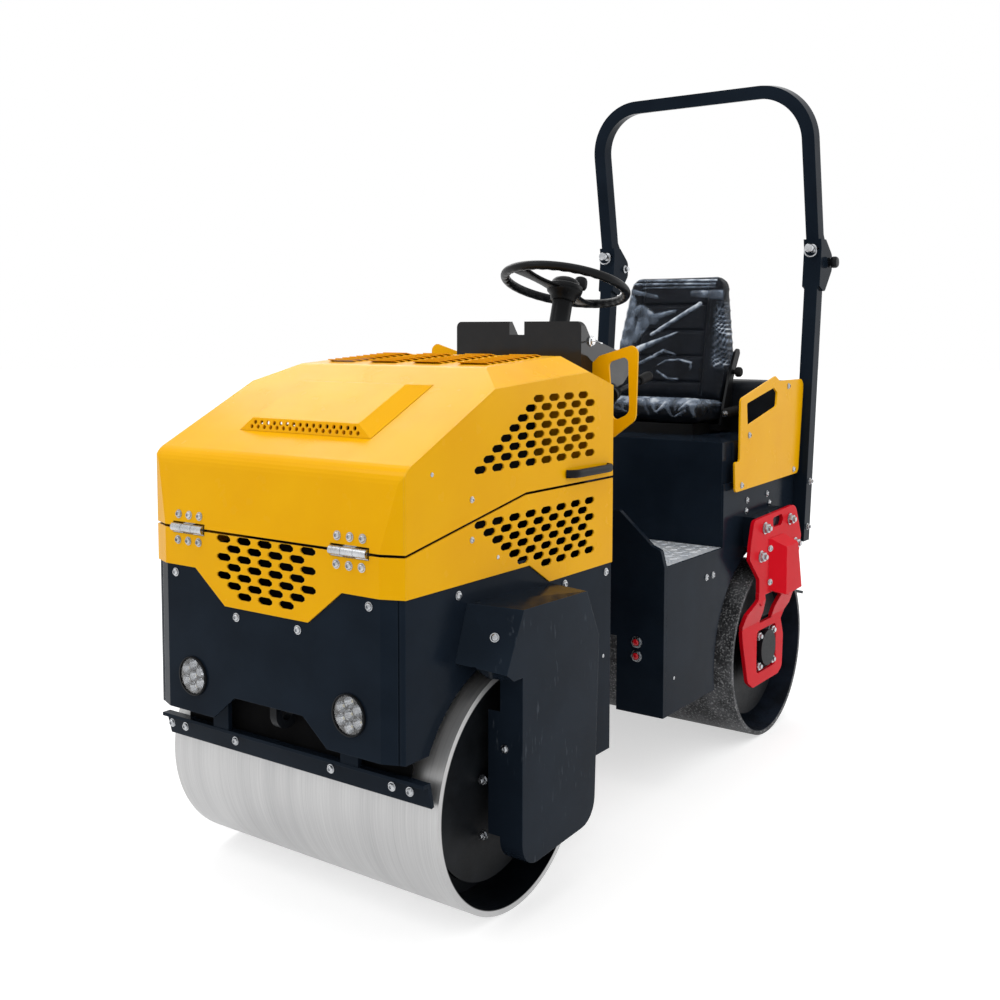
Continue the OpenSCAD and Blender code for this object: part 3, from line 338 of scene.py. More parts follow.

# %% [markdown]
# The front drum is turned on a lathe, so fine lines run round it; its inside is painted, and drawn
# near black as painted shade of the recess. The rear drum has been rolled over fresh asphalt and is dark
# and speckled. Where the shell turns from the bright outside to the painted inside, the distance from
# the axle tells the two apart.

# %% Drum steels
def rolling_face(tree, place, axle):
    """1 on the drum's rolling face and 0 inside its shell, told by a point's distance from the axle."""
    centred = add(tree, "Mapping", {"Vector": place, "Location": (0, -axle[1], -axle[2]),
                                    "Scale": (0, 1, 1)}).outputs[0]
    away = add(tree, "VectorMath", {0: centred}, operation="LENGTH").outputs["Value"]
    return levels(tree, away, 0.2665, 0.2685, 0.0, 1.0)


def drum_steel(name, axle, specular, fine, broad, share, inside, metal, rough, strength, depth):
    """Mild steel on the rolling face, a painted finish inside the shell. fine, broad and inside are patterns
    of (size in mm, detail, stretch, colours): the first two mix by the share, the third is the inside's
    colour: the coat, and for the front drum painted shade as well. The fine pattern also gives the
    roughness, from low to high, and the bump."""
    material, tree, shader, place = finish_tree(name, Specular_IOR_Level=specular)
    outer = rolling_face(tree, place, axle)
    steel, band, inside_colour = [ramp(tree, noise(tree, place, *p[:3]), p[3]) for p in (fine, broad, inside)]
    grain = noise(tree, place, *fine[:3])
    feed(tree, shader, {"Base Color": mixed(tree, outer, inside_colour, mixed(tree, share, steel, band)),
                        "Metallic": levels(tree, outer, 0, 1, 0.0, metal),
                        "Roughness": levels(tree, grain, 0.3, 0.7, *rough),
                        "Normal": bumped(tree, grain, strength, depth)})
    return material


EVEN = (1, 1, 1)
# Turned: lines round the drum about 3 mm apart, drawn as coarse as they show here.
bright_drum = drum_steel(
    "turned_drum_steel", front_axle, 0.2,
    (3, 3, (1, 0.012, 0.012), [(0.30, "#A3A3A4"), (0.70, "#C6C6C6")]),
    (60, 3, (1, 0.05, 0.05), [(0.35, "#B4B4B5"), (0.65, "#C9C9C9")]), 0.45,
    # The inside's colours are near black: the inside's coat with the recess's shade painted in.
    (130, 4, EVEN, [(0.4, "#04060A"), (0.6, "#0A0E14")]), 0.85, (0.36, 0.50), 0.12, 0.0005)
# After use: bitumen stain and dust in specks of 6 mm.
worn_drum = drum_steel(
    "rolled_drum_steel", rear_axle, 0.15,
    (6, 5, EVEN, [(0.36, "#17181A"), (0.54, "#4B4C4E"), (0.68, "#C6C7C8")]),
    (70, 4, EVEN, [(0.40, "#2B2C2E"), (0.64, "#707174")]), 0.5,
    (70, 4, EVEN, [(0.4, "#0E131B"), (0.6, "#18202C")]), 0.25, (0.45, 0.75), 0.35, 0.0012)
print("drums", bright_drum.name, worn_drum.name)

# %% [markdown]
# Smaller parts: zinc-plated fasteners and hinges, dark cast and forged steel on the running gear,
# moulded plastics, rubber, a chromed rod. They share one recipe, colour from noise at two sizes and
# a bump at the grain's size, so one function makes them all from a short list of values.

# %% Plated, cast and moulded finishes
def grained(name, dark, light, grain, rough, bump_depth=0.0, cloud=60, **sockets):
    """A finish with one grain size in mm: colour varies with a cloud and the grain, roughness and bump
    with the grain."""
    material, tree, shader, place = finish_tree(name, **sockets)
    drift = noise(tree, place, cloud, 4)
    fine = noise(tree, place, grain, 3)
    both = add(tree, "Mix", {0: 0.35, 2: drift, 3: fine}, data_type="FLOAT").outputs[0]
    feed(tree, shader, {"Base Color": ramp(tree, both, [(0.36, dark), (0.64, light)]),
                        "Roughness": levels(tree, fine, 0.3, 0.7, rough - 0.06, rough + 0.08)})
    if bump_depth:
        feed(tree, shader, {"Normal": bumped(tree, fine, 0.5, bump_depth)})
    return material


zinc = grained("zinc_plated_steel", "#9A9DA1", "#C6C8CB", 4, 0.26, 0.0001, Metallic=1.0)
chrome = grained("chromed_rod", "#D5D7D9", "#E6E7E8", 8, 0.12, Metallic=1.0)
forged = grained("black_forged_steel", "#0F1114", "#1B1E22", 6, 0.42, 0.0004, Specular_IOR_Level=0.10)
cast = grained("painted_cast_iron", "#121314", "#1E2022", 5, 0.60, 0.0006, Specular_IOR_Level=0.08)
moulded = grained("moulded_black_plastic", "#0D0E10", "#15171A", 2.2, 0.34, 0.0002,
                  Specular_IOR_Level=0.12)
tank_plastic = grained("rotomoulded_tank", "#0F1217", "#171B21", 3, 0.45, 0.0003, Specular_IOR_Level=0.10)
acrylic = grained("gloss_black_acrylic", "#16171A", "#1C1D20", 40, 0.12, Specular_IOR_Level=0.24)
rubber = grained("black_rubber", "#0C0C0D", "#161617", 3, 0.62, 0.0003, Specular_IOR_Level=0.14)
plate = grained("aluminium_tread_plate", "#C4CCD6", "#F2F5F8", 7, 0.36, 0.0003, 40, Metallic=0.4)
print("finishes", len(bpy.data.materials))

# %% Dress the solids
COATS = {
    yellow: "belt hood_shell hood_side_left hood_side_right hood_scoop side_panel_left side_panel_right"
            " grab_handle_left grab_handle_right",
    red: "rear_support_left rear_support_right rear_yoke",
    zinc: "belt_hinges hood_hinges",
    scuffed: "motor_guard_left motor_guard_right",
    forged: "rear_chassis front_chassis front_bulkhead tongue front_drum_drive rear_drum_drive"
            " rear_motors steer_barrel",
    cast: "engine",
    plate: "floor_tread",
    chrome: "steer_rod",
    moulded: "steering_column seat_mount",
    tank_plastic: "water_tank",
    bright_drum: "front_drum_shell",
    worn_drum: "rear_drum_shell",
    acrylic: "console",
}
dressed = {name: coat for coat, names in COATS.items() for name in names.split()}
for name, solid in nodes.items():
    solid.data.materials.clear()
    solid.data.materials.append(dressed.get(name, black))
print("dressed", len(dressed), "by name, the rest in black coat")

# %% [markdown]
# ## Fasteners
# Button-head screws on flat washers hold the sheet metal, hexagon bolts hold the drum supports.
# Both are turned shapes, so a profile is spun round an axis; where the tool grips, the circle
# becomes a hexagon. One grid is worked out once and placed many times.

# %% Turned shapes and screws
def turned(profile, segments=24):
    """A profile of (radius, height, hexagon share) in mm spun round local Z: the radius at an angle
    is moved towards a hexagon's by the share."""
    profile = np.array([(*row, 0.0)[:3] for row in profile])
    angle = turns(segments)
    six = math.cos(math.pi / 6) / np.cos(angle % (math.pi / 3) - math.pi / 6)
    radius = profile[:, 0, None] * (1 + profile[:, 2, None] * (six - 1))
    height = np.broadcast_to(profile[:, 1, None], radius.shape)
    return np.stack([radius * np.cos(angle), radius * np.sin(angle), height], -1)


def placed(grid, at, towards):
    """Copies of a grid in mm with local Z turned to each direction and its foot at each station."""
    at, z = [np.atleast_2d(np.asarray(each, float)) for each in (at, towards)]
    z = np.broadcast_to(z / np.linalg.norm(z, axis=1, keepdims=True), at.shape)
    up = np.where(np.abs(z[:, 2:]) > 0.9, [[0.0, 1.0, 0.0]], [[0.0, 0.0, 1.0]])
    x = np.cross(up, z)
    x /= np.linalg.norm(x, axis=1, keepdims=True)
    axes = np.stack([x, np.cross(z, x), z], 1)
    return station(np.einsum("rcj,njk->nrck", grid, axes) + at[:, None, None, :])


def spun(profile, at, towards, segments=24):
    """A turned profile, its axis along each direction and its foot at each station."""
    return placed(turned(profile, segments), at, towards)


def piece(name, grids, body, material):
    """An object from grids of points, riding on a body, with a finish."""
    thing = linked(name, mesh_of(name, grids))
    thing.data.materials.append(material)
    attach(thing, body)
    return thing


BUTTON = [(0, -1), (10, -1), (10, 1.3), (8.0, 1.5), (7.8, 3.2), (6.6, 5.2), (4.9, 6.2),
          (3.9, 6.4, 1), (3.7, 3.6, 1), (0, 3.4)]
HEX = [(0, -1), (19, -1), (19, 2.6), (16, 2.8, 1), (16, 13, 1), (14.4, 15, 0.6), (8.5, 15.4), (8.2, 21),
       (7, 22.5), (0, 22.5)]
button, big_hex = turned(BUTTON), turned(HEX)
small_hex, middle_hex = big_hex * 0.6, big_hex * 0.9
LEFT, AHEAD, BACK, UP = (1, 0, 0), (0, -1, 0), (0, 1, 0), (0, 0, 1)
# Faces that screws sit on, in mm: out from the middle at the sides, ahead of the axle at the nose.
SIDE, SKIRT, PANEL, POST, SUPPORT, BEARING, COVER = 380, 376, 400, 426, 431, 393, 434.8
NOSE, SKIRT_NOSE, HOOD_NOSE, SCRAPER = -362, -358, -358.9, -318
# Share of a full screw for the small ones, and how far the rear towing eye reaches behind its plate.
SMALL, EYE_REACH = 0.72, 72


def on_sides(x, spots):
    """Places (y, z) on both sides of the machine at a distance from its middle, with directions."""
    spots = np.array([(x, y, z) for y, z in spots], float)
    return mirrored(spots), mirrored(np.tile(LEFT, (len(spots), 1)))


hinge_row = [c + d for c in (-247, 247) for d in (-35, 0, 35)]
lean = (0, -math.cos(math.radians(6)), math.sin(math.radians(6)))
plug = turned([(0, -1), (5, -1), (5, 0.8), (3.4, 1.7), (0, 1.9)], 12)
slant = mirrored([(0.47, -0.83, 0.29)])
front_screws = [
    placed(button, [(x, NOSE, 821) for x in hinge_row], AHEAD),
    placed(button, mirrored([(297, SKIRT_NOSE, 743), (95, SKIRT_NOSE, 665)]), AHEAD),
    placed(button, *on_sides(SKIRT, [(-164, 740), (258, 691), (454, 688)])),
    placed(button * SMALL, *on_sides(SIDE, [(-121, 853)])),
    placed(button, mirrored([(440, -121, 650)]), slant),
    placed(button, mirrored([(429, -67, 390)]), AHEAD),
    placed(small_hex, mirrored([(366, -60, z) for z in (305, 179)]), AHEAD),
    placed(button, mirrored([(x, SCRAPER, 362) for x in (369, 321, 149)]), AHEAD),
    placed(plug, *on_sides(SKIRT, [(444, 472)])),
    placed(plug, *on_sides(SIDE, [(-25, 801)])),
]
piece("front_screws", front_screws, "front_frame", zinc)
hood_screws = [
    placed(button, [(x, HOOD_NOSE, 880) for x in hinge_row], lean),
    placed(button * SMALL, *on_sides(SIDE, [(-121, 940)])),
    placed(plug, *on_sides(SIDE, [(-257, 1007)])),
]
piece("hood_screws", hood_screws, "hood", zinc)
cover_flank = mirrored([(0.93, -0.37, 0)] * 2)
(_, _, plate_low), (_, eye_end, plate_top) = in_mm(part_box("rear_plate"))
plate_spots = [(320, plate_top - 40), (320, plate_low + 40), (110, plate_top - 40),
               (320, (plate_top + plate_low) / 2)]
rear_screws = [
    placed(button, *on_sides(PANEL, [(1601, 1121), (1288, 980), (1659, 839), (1236, 829)])),
    placed(button, *on_sides(SIDE, [(1039, 574), (1083, 574), (1326, 771), (1484, 774), (1319, 738),
                                   (1504, 742)])),
    placed(plug, *on_sides(SIDE, [(835, 320)])),
    placed(small_hex, *on_sides(POST, [(1741, 792), (1727, 638)])),
    placed(big_hex, *on_sides(SUPPORT, [(1350, 684), (1555, 687), (1322, 598), (1605, 600)])),
    placed(middle_hex, *on_sides(BEARING, [(1388, 326), (1497, 326), (1388, 228), (1497, 228)])),
    placed(button, mirrored([(COVER, 1388, z) for z in (614, 506)]), cover_flank),
    placed(button, mirrored([(x, eye_end - EYE_REACH, z) for x, z in plate_spots]), BACK),
]
piece("rear_screws", rear_screws, "rear_frame", zinc)
print("screws", sum(g.shape[0] for g in front_screws + hood_screws + rear_screws))

# %% [markdown]
# ## Work lamps
# A round lamp with seven small reflector cups under a clear lens. Each cup is a paraboloid, spun from
# a parabola like the housing and the lens, with a light chip at its bottom.

# %% Lamps
lens_clear = finish_tree("clear_polycarbonate", Base_Color=(1, 1, 1, 1), Transmission_Weight=1.0,
                         IOR=1.49, Roughness=0.03)[0]
mirror_coat = grained("aluminised_reflector", "#7C7F84", "#AEB1B5", 6, 0.10, Metallic=1.0)
led = grained("led_chip", "#B8AE88", "#E6DFC0", 2, 0.4)

sixth = turns(6) + math.pi / 6
cups = np.concatenate([[(0, 0)], 26.5 * np.stack([np.cos(sixth), np.sin(sixth)], 1)])
lamp_at = mirrored([(241, SKIRT_NOSE, 508)])
HOUSING = [(0, -38), (30, -38), (39, -22), (40, 0), (45.5, 0), (45.5, 4.5), (44.5, 6.3), (42.4, 6.6),
           (41.2, 5), (41, 0.8), (40.5, -16), (0, -17)]
LENS = [(0, 6.9), (18, 6.6), (32, 5.7), (38, 4.7), (41, 3.4), (41, 2.6), (30, 3.8), (0, 5.0)]
CHIP = [(0, 0), (3.4, 0), (3.2, 1.6), (2.0, 2.8), (0, 3.2)]
lamp_body = piece("lamp_housings", [spun(HOUSING, lamp_at, AHEAD, 48)], "front_frame",
                  moulded)
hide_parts("head_lamps")
bowl = np.linspace(0, 1, 9)
CUP = [(12.2 * r, -11 + 12 * r ** 2) for r in bowl] + [(12.6, 0.6), (12.4, -1)]
CUP += [(12.4 * r, -12.5 + 11.5 * r ** 2) for r in bowl[::-1]]
cup_at = np.concatenate([lamp_at + [x, 0, z] for x, z in cups])
piece("lamp_reflectors", [spun(CUP, cup_at, AHEAD, 28)], "front_frame", mirror_coat)
chips = cup_at + [0, 10.5, 0]
piece("lamp_chips", [spun(CHIP, chips, AHEAD, 12)], "front_frame", led)
piece("lamp_lenses", [spun(LENS, lamp_at, AHEAD, 48)], "front_frame", lens_clear)
print("lamps", len(lamp_at), "cups", len(chips))

# %% [markdown]
# ## Steering wheel
# Soft black plastic moulded over a steel core: a round rim with finger waves on its underside, two
# broad spokes that dip to the hub, a domed cap, and a spinner knob for turning with one hand. Rim
# and spokes are a section carried along a path; hub, cap and knob are turned.

# %% Wheel
tilt = math.radians(16.4)
column = np.array([[1, 0, 0], [0, math.cos(tilt), -math.sin(tilt)], [0, math.sin(tilt), math.cos(tilt)]])


def on_column(grid):
    """Wheel coordinates in mm (across, towards the driver, up the column) as points in the frame."""
    return station(grid @ column + [0, 851, 1436])


def rim_grid(radius, thick, waves, depth, around=168, section=18):
    """A ring: a circle of that thickness carried round; waves press into its inner underside."""
    a = turns(around)[:, None]
    b = turns(section)
    under = unit(np.cos(b - math.radians(225))) ** 2
    r = thick - depth * under * (0.5 - 0.5 * np.cos(waves * a))
    away = radius + r * np.cos(b)
    ring = np.stack([away * np.cos(a), away * np.sin(a), r * np.sin(b) + 0 * a], -1)
    return np.concatenate([ring, ring[:1]])


def spoke_grid(angle, steps=26, section=24):
    """A rounded bar carried from hub to rim: half width and height along the way are smooth
    functions of the run, and the upper side is dished."""
    t = np.linspace(0, 1, steps)[:, None]
    b = turns(section)
    cap = np.sqrt(unit(1 - (2 * t - 1) ** 16))
    wide = (22 + 18 * (2 * t - 1) ** 2) * cap
    across = wide * signed(np.cos(b), 0.6)
    rise = 6.5 * cap * signed(np.sin(b), 0.8)
    dish = 3.2 * unit(np.sin(b)) * (1 - (across / np.maximum(wide, 1e-6)) ** 2) * cap
    run = 26 + 150 * t + 0 * b
    up = -16 + 13 * t ** 1.5 + rise - dish
    c, s = math.cos(angle), math.sin(angle)
    return np.stack([run * c - across * s, run * s + across * c, up], -1)


HUB = [(0, -50), (35, -50), (37, -47), (40, -34), (51, -24), (54, -12), (51, -2), (44, 3), (0, 3)]
CAP = [(0, 2), (40, 2), (41.5, 5), (40, 11), (34, 17), (24, 21.5), (12, 24), (0, 25)]
KNOB = [(0, -6), (7, -6), (7, 20), (9, 22), (17, 24), (20.5, 31), (21, 42), (20, 52), (16.5, 59),
        (10, 62.5), (0, 63.5)]
knob_at = 112 * np.array([math.cos(math.radians(100)), math.sin(math.radians(100)), 0])
wheel_grids = [rim_grid(181, 13.5, 36, 2.4), turned(HUB, 40), turned(CAP, 40), turned(KNOB, 32) + knob_at]
wheel_grids += [spoke_grid(math.radians(a)) for a in (99, 250)]
wheel = piece("moulded_wheel", [on_column(g) for g in wheel_grids], "steering_wheel", moulded)
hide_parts("steering_wheel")
print("wheel", len(wheel.data.polygons), "faces")

# %% [markdown]
# ## Hood handles
# A plastic bow on each side of the hood. A rounded section runs along a path that leaves the side,
# turns along it and comes back; the path is a straight bow with its corners rounded.

# %% Handles
def carried(path, section, up):
    """A closed section (across, up) carried along a path: at each point the section stands square
    to the path's direction. The ends close to a point."""
    along = np.gradient(path, axis=0)
    along /= np.linalg.norm(along, axis=1, keepdims=True)
    side = np.cross(along, up)
    side /= np.linalg.norm(side, axis=1, keepdims=True)
    top = np.cross(side, along)
    body = path[:, None] + section[:, 0, None] * side[:, None] + section[:, 1, None] * top[:, None]
    ends = np.repeat(path[[0, -1], None], len(section), 1)
    return np.concatenate([ends[:1], body, ends[1:]])


def oval(wide, high, points=20, power=0.75):
    """A rounded closed section, wide by high."""
    b = turns(points)
    return np.stack([wide / 2 * signed(np.cos(b), power), high / 2 * signed(np.sin(b), power)], 1)


bow = np.linspace(-1, 1, 60)
reach_out = 19 * (1 - np.abs(bow) ** 9)
bow_path = np.stack([SIDE + reach_out, 356 + 98 * signed(bow, 0.8), np.full(60, 958.0)], 1)
handle = [station(carried(bow_path * [s, 1, 1], oval(13, 20), UP)) for s in (1, -1)]
handles = piece("bow_handles", handle, "hood", moulded)
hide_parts("hood_handles")
print("handles", len(handles.data.polygons), "faces")

# %% [markdown]
# ## Mat and shade sheet
# A quilted foam mat hangs in front of the bulkhead's opening and keeps the engine's noise from the
# driver. It is a slab whose two faces swell inside the stitched squares and meet at its rim.
# A dark sheet of the same foam stands behind the scraper: painted shade in the gap between scraper and drum.

# %% Mat and shade sheet
def quilted(wide, high, thick, square, swell, steps=72):
    """A slab over (round the section, up): each face stands off its middle by half the thickness plus
    swell times the size of sine times sine of the squares, and drops to nothing at the rim."""
    u = np.linspace(0, 2, 2 * steps, endpoint=False)
    z = np.linspace(-high / 2, high / 2, steps)[:, None]
    x = wide / 2 * (1 - 2 * np.abs(u - 1))
    rim = np.sqrt(unit((1 - (2 * x / wide) ** 20) * (1 - (2 * z / high) ** 20)))
    puff = np.abs(np.sin(math.pi * x / square) * np.sin(math.pi * z / square))
    y = np.where(u < 1, -1, 1) * (thick / 2 + swell * puff) * rim
    return np.stack([x + 0 * z, y, z + 0 * x], -1)


foam = grained("black_foam_mat", "#0A0A0B", "#131314", 3, 0.8, 0.0004, Specular_IOR_Level=0.05)
piece("bulkhead_mat", [station(quilted(340, 170, 6, 42, 2.2) + [0, 462, 790])], "front_frame", foam)
# A dark foam sheet behind the scraper stands for the shade in the gap: painted shade.
shade_sheet_path = np.array([(0, -282, 366), (0, -282, 420), (0, -281, 470), (0, -278, 522)], float)
shade_sheet = carried(shade_sheet_path, np.array([(-345, -2.5), (345, -2.5), (345, 2.5), (-345, 2.5)]), AHEAD)
piece("scraper_shade_sheet", [station(shade_sheet)], "front_frame", foam)
print("mat hung at the bulkhead, flap behind the scraper")

# %% [markdown]
# ## Levers, pins and switches
# The small hardware is turned as well. The drive lever is a rod in a rubber bellows with a ribbed
# grip; the roll bar has a lock pin with a pull ring on each post and a fold pin behind it; a key
# switch sits in the console's side, two red markers in nuts at each side of the toe board, and a
# filler cap on the tank.

# %% Lever, pins and markers
CONSOLE_SIDE, CHEEK = 211, 434
ribs = [(14.6 - 1.5 * (k % 2), 157 + 5 * k) for k in range(10)]
BOSS = [(0, -2), (30, -2), (30, 5), (27, 9), (20, 12), (0, 12)]
LEVER = [(0, -14), (21, -14), (21, -5), (16, 3), (19, 8), (13, 14), (15, 19), (9, 26), (7, 30),
         (7, 158), (0, 158)]
GRIP = [(0, 150), (12, 150), (14.4, 154)] + ribs + [(14.6, 207), (12.5, 215), (7, 220), (0, 221)]
lever_at, lever_to = (219, 760, 1125), (0, math.sin(math.radians(78)), math.cos(math.radians(78)))
boss_at, switch_at = (CONSOLE_SIDE, 760, 1125), (CONSOLE_SIDE, 649, 1273)
lever = piece("drive_rod", [spun(LEVER, lever_at, lever_to), spun(BOSS, boss_at, LEFT, 32)], "rear_frame",
              forged)
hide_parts("drive_lever")
piece("drive_grip", [spun(GRIP, lever_at, lever_to, 28)], "rear_frame", rubber)

LOCK = [(0, -3), (15, -3), (15, 3), (12, 5), (8, 6), (8, 24), (14, 25), (15, 27), (15, 38), (13, 41),
        (5, 42), (0, 42)]
FOLD = [(0, -4), (15, -4), (15, 3), (13, 5), (10, 6), (10, 13), (7, 17), (0, 18)]
RING = rim_grid(19, 2.6, 1, 0.0, 40, 10)
posts = mirrored([(403, 1789, 1583)])
pins = [spun(LOCK, posts, AHEAD), placed(RING, posts + [0, -20, -10], (0.35, -0.9, 0.3)),
        spun(FOLD, mirrored([(372, 1868, 1539)]), mirrored([(-1, 0, 0)]))]
piece("roll_bar_pins", pins, "rear_frame", zinc)
KNURL = [(0, -2), (17, -2), (17, 3), (13, 5), (13, 8), (19, 10), (20, 14), (19.5, 24), (16, 29),
         (8, 31), (0, 31)]
piece("fold_knobs", [spun(KNURL, *on_sides(CHEEK, [(1868, 1539)]))], "rear_frame", moulded)

NUT = [(0, -1), (17, -1), (17, 1.6), (15, 1.8, 1), (15, 8, 1), (13.5, 9.6, 0.5), (11, 9.8), (10.6, 5),
       (0, 5)]
DOME = [(0, 4.5), (10.4, 4.5), (10.2, 8), (8, 11), (4.5, 12.6), (0, 13)]
marks = mirrored([(296, 770, 425), (296, 770, 385)])
piece("marker_nuts", [spun(NUT, marks, AHEAD)], "rear_frame", zinc)
ruby = grained("red_acrylic", "#B00816", "#D81424", 3, 0.10, Specular_IOR_Level=0.4)
piece("marker_domes", [spun(DOME, marks, AHEAD, 20)], "rear_frame", ruby)

SWITCH = [(0, -2), (15, -2), (15, 3), (13, 5), (11.5, 5.4), (11, 9), (9, 10), (3, 10), (0, 10)]
key_path = np.linspace((219, 649, 1273), (246, 646, 1268), 12)
key = carried(key_path, oval(13, 3.4, 12), (0, 0.2, 1))
piece("key_switch", [spun(SWITCH, switch_at, LEFT), station(key)], "rear_frame", chrome)
(_, tank_front, _), (_, tank_rear, tank_top) = in_mm(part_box("water_tank"))
filler_at = (-190, (tank_front + tank_rear) / 2, tank_top)
FILLER = [(0, -3), (56, -3), (56, 3), (52, 5), (48, 6), (48, 10), (50, 12), (50, 30), (46, 34), (20, 35),
          (0, 35)]
CAP_RIBS = [(0, 11), (52, 11, 0.12), (52, 29, 0.12), (0, 29)]
piece("tank_filler", [spun(row, filler_at, UP, 60) for row in (FILLER, CAP_RIBS)], "rear_frame", moulded)
print("lever, pins", len(posts), "markers", len(marks))

# %% [markdown]
# ## Console
# The driver looks down on a sloping panel: two round gauges, a row of rocker switches and three
# tell-tale lamps. A gauge is a bezel, a white dial with dark ticks, a red needle and a lens.

# %% Gauges and switches
RUN, DROP, SLOPE = 145.0, 37.0, 149.6
panel_up = np.array([0, DROP, RUN]) / math.hypot(DROP, RUN)


def on_panel(x, down):
    """A place on the console's sloping panel: across the machine, and mm down the slope from its top."""
    return np.array([x, 645 + down * RUN / SLOPE, 1284 - down * DROP / SLOPE])


dials = np.array([on_panel(x, 60) for x in (-120, 120)])
BEZEL = [(0, -3), (41, -3), (41, 5), (39, 8), (36, 8.6), (34.5, 6), (34, 2.4), (0, 2.4)]
DIAL = [(0, 2.6), (33.6, 2.6), (33.6, 3), (0, 3.2)]
GLASS = [(0, 5.2), (34.4, 5.0), (34.4, 4.4), (0, 4.6)]
LAMP = [(0, -1), (7, -1), (7, 2), (5.6, 4.6), (3, 5.6), (0, 5.8)]
tick_turn = np.radians(np.linspace(-40, 220, 14))
tick = turned([(0, 3), (1.5, 3), (1.2, 3.7), (0, 3.8)], 6)
rim_spots = np.stack([28 * np.cos(tick_turn), 28 * np.sin(tick_turn), 0 * tick_turn], 1)
ticks = tick + rim_spots[:, None, None]
dial_white = grained("printed_white_dial", "#D8DAD8", "#ECEDEA", 20, 0.5)
piece("gauge_bezels", [spun(BEZEL, dials, panel_up, 40)], "rear_frame", moulded)
piece("gauge_dials", [spun(DIAL, dials, panel_up, 40)], "rear_frame", dial_white)
piece("gauge_ticks", [placed(one, dials, panel_up) for one in ticks], "rear_frame", rubber)
needle = carried(np.linspace((-6, -6, 4), (19, 17, 4), 8), oval(2.6, 1.0, 8), UP)
piece("gauge_needles", [placed(needle, dials, panel_up)], "rear_frame", ruby)
piece("gauge_lenses", [spun(GLASS, dials, panel_up, 40)], "rear_frame", lens_clear)
tell_tales = np.array([on_panel(x, 35) for x in (-30, 0, 30)])
piece("tell_tales", [spun(LAMP, tell_tales, panel_up, 18)], "rear_frame", ruby)
rocker_at = np.array([on_panel(x, 85) for x in (-45, -15, 15, 45)])
rocker_path = np.linspace((0, -13, 2.5), (0, 13, 4.5), 14)
rocker = carried(rocker_path, oval(20, 9, 16, 0.4), UP)
piece("rocker_switches", [placed(rocker, rocker_at, panel_up)], "rear_frame", moulded)
print("gauges", len(dials), "switches", len(rocker_at))

# %% [markdown]
# ## Tread plate
# Bright aluminium tread plate covers the floor: lens-shaped studs rolled up from the sheet, turned
# a quarter from one to the next. One stud is a small dome of a few dozen faces, repeated on a grid.

# %% Studs
low, high = np.array(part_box("floor_tread")) / MM
pitch = 33.0
gx, gy = np.meshgrid(np.arange(low[0] + 20, high[0] - 15, pitch),
                     np.arange(low[1] + 18, high[1] - 12, pitch), indexing="ij")
way = np.radians(45 + 90 * (np.add.outer(np.arange(gx.shape[0]), np.arange(gx.shape[1])) % 2))


def studs(x, y, way, long=27, wide=9.5, tall=1.9):
    """Lens domes at each place: rings that shrink as they rise, longer one way than the other."""
    share, rise = np.array([1.0, 0.86, 0.5, 0.0])[:, None], np.array([-0.3, 0.55, 0.92, 1.0])[:, None]
    b = turns(12)
    u, v = share * np.cos(b) * long / 2, share * np.sin(b) * wide / 2
    x, y, way = [each.reshape(-1, 1, 1) for each in (x, y, way)]
    c, s = np.cos(way), np.sin(way)
    return np.stack([x + u * c - v * s, y + u * s + v * c, rise * tall + 0 * u * c], -1)


stud_points = studs(gx, gy, way) + [0, 0, high[2]]
piece("tread_studs", [stud_points * MM], "rear_frame", plate)
print("studs", stud_points.shape[0])

# %% [markdown]
# ## Seat
# Foam pads under sewn black vinyl. The pads start as copies of the seat's solids, drawn in or let
# out by a few millimetres, and the cloth solver blows them up a little, as foam fills a cover. The
# stitched channels are pressed in afterwards, because the remesh would wipe them out.

# %% Padded seat
VOXEL, SEAM, STITCH = 0.006, 123, 4.5
vinyl = grained("black_seat_vinyl", "#12151A", "#1B1F26", 2.6, 0.36, 0.0005, Specular_IOR_Level=0.07)


def evaluated(thing):
    """The thing's mesh with its modifiers applied."""
    return bpy.data.meshes.new_from_object(thing.evaluated_get(bpy.context.evaluated_depsgraph_get()))


def baked(thing):
    """The thing keeps what its modifiers make of its mesh, and the modifiers go."""
    mesh = evaluated(thing)
    thing.modifiers.clear()
    thing.data = mesh
    return mesh


def coordinates(mesh, kind="vertices", field="co"):
    """A mesh field as an array of points."""
    data = getattr(mesh, kind)
    flat = np.empty(len(data) * 3, np.float32)
    data.foreach_get(field, flat)
    return flat.reshape(-1, 3).astype(float)


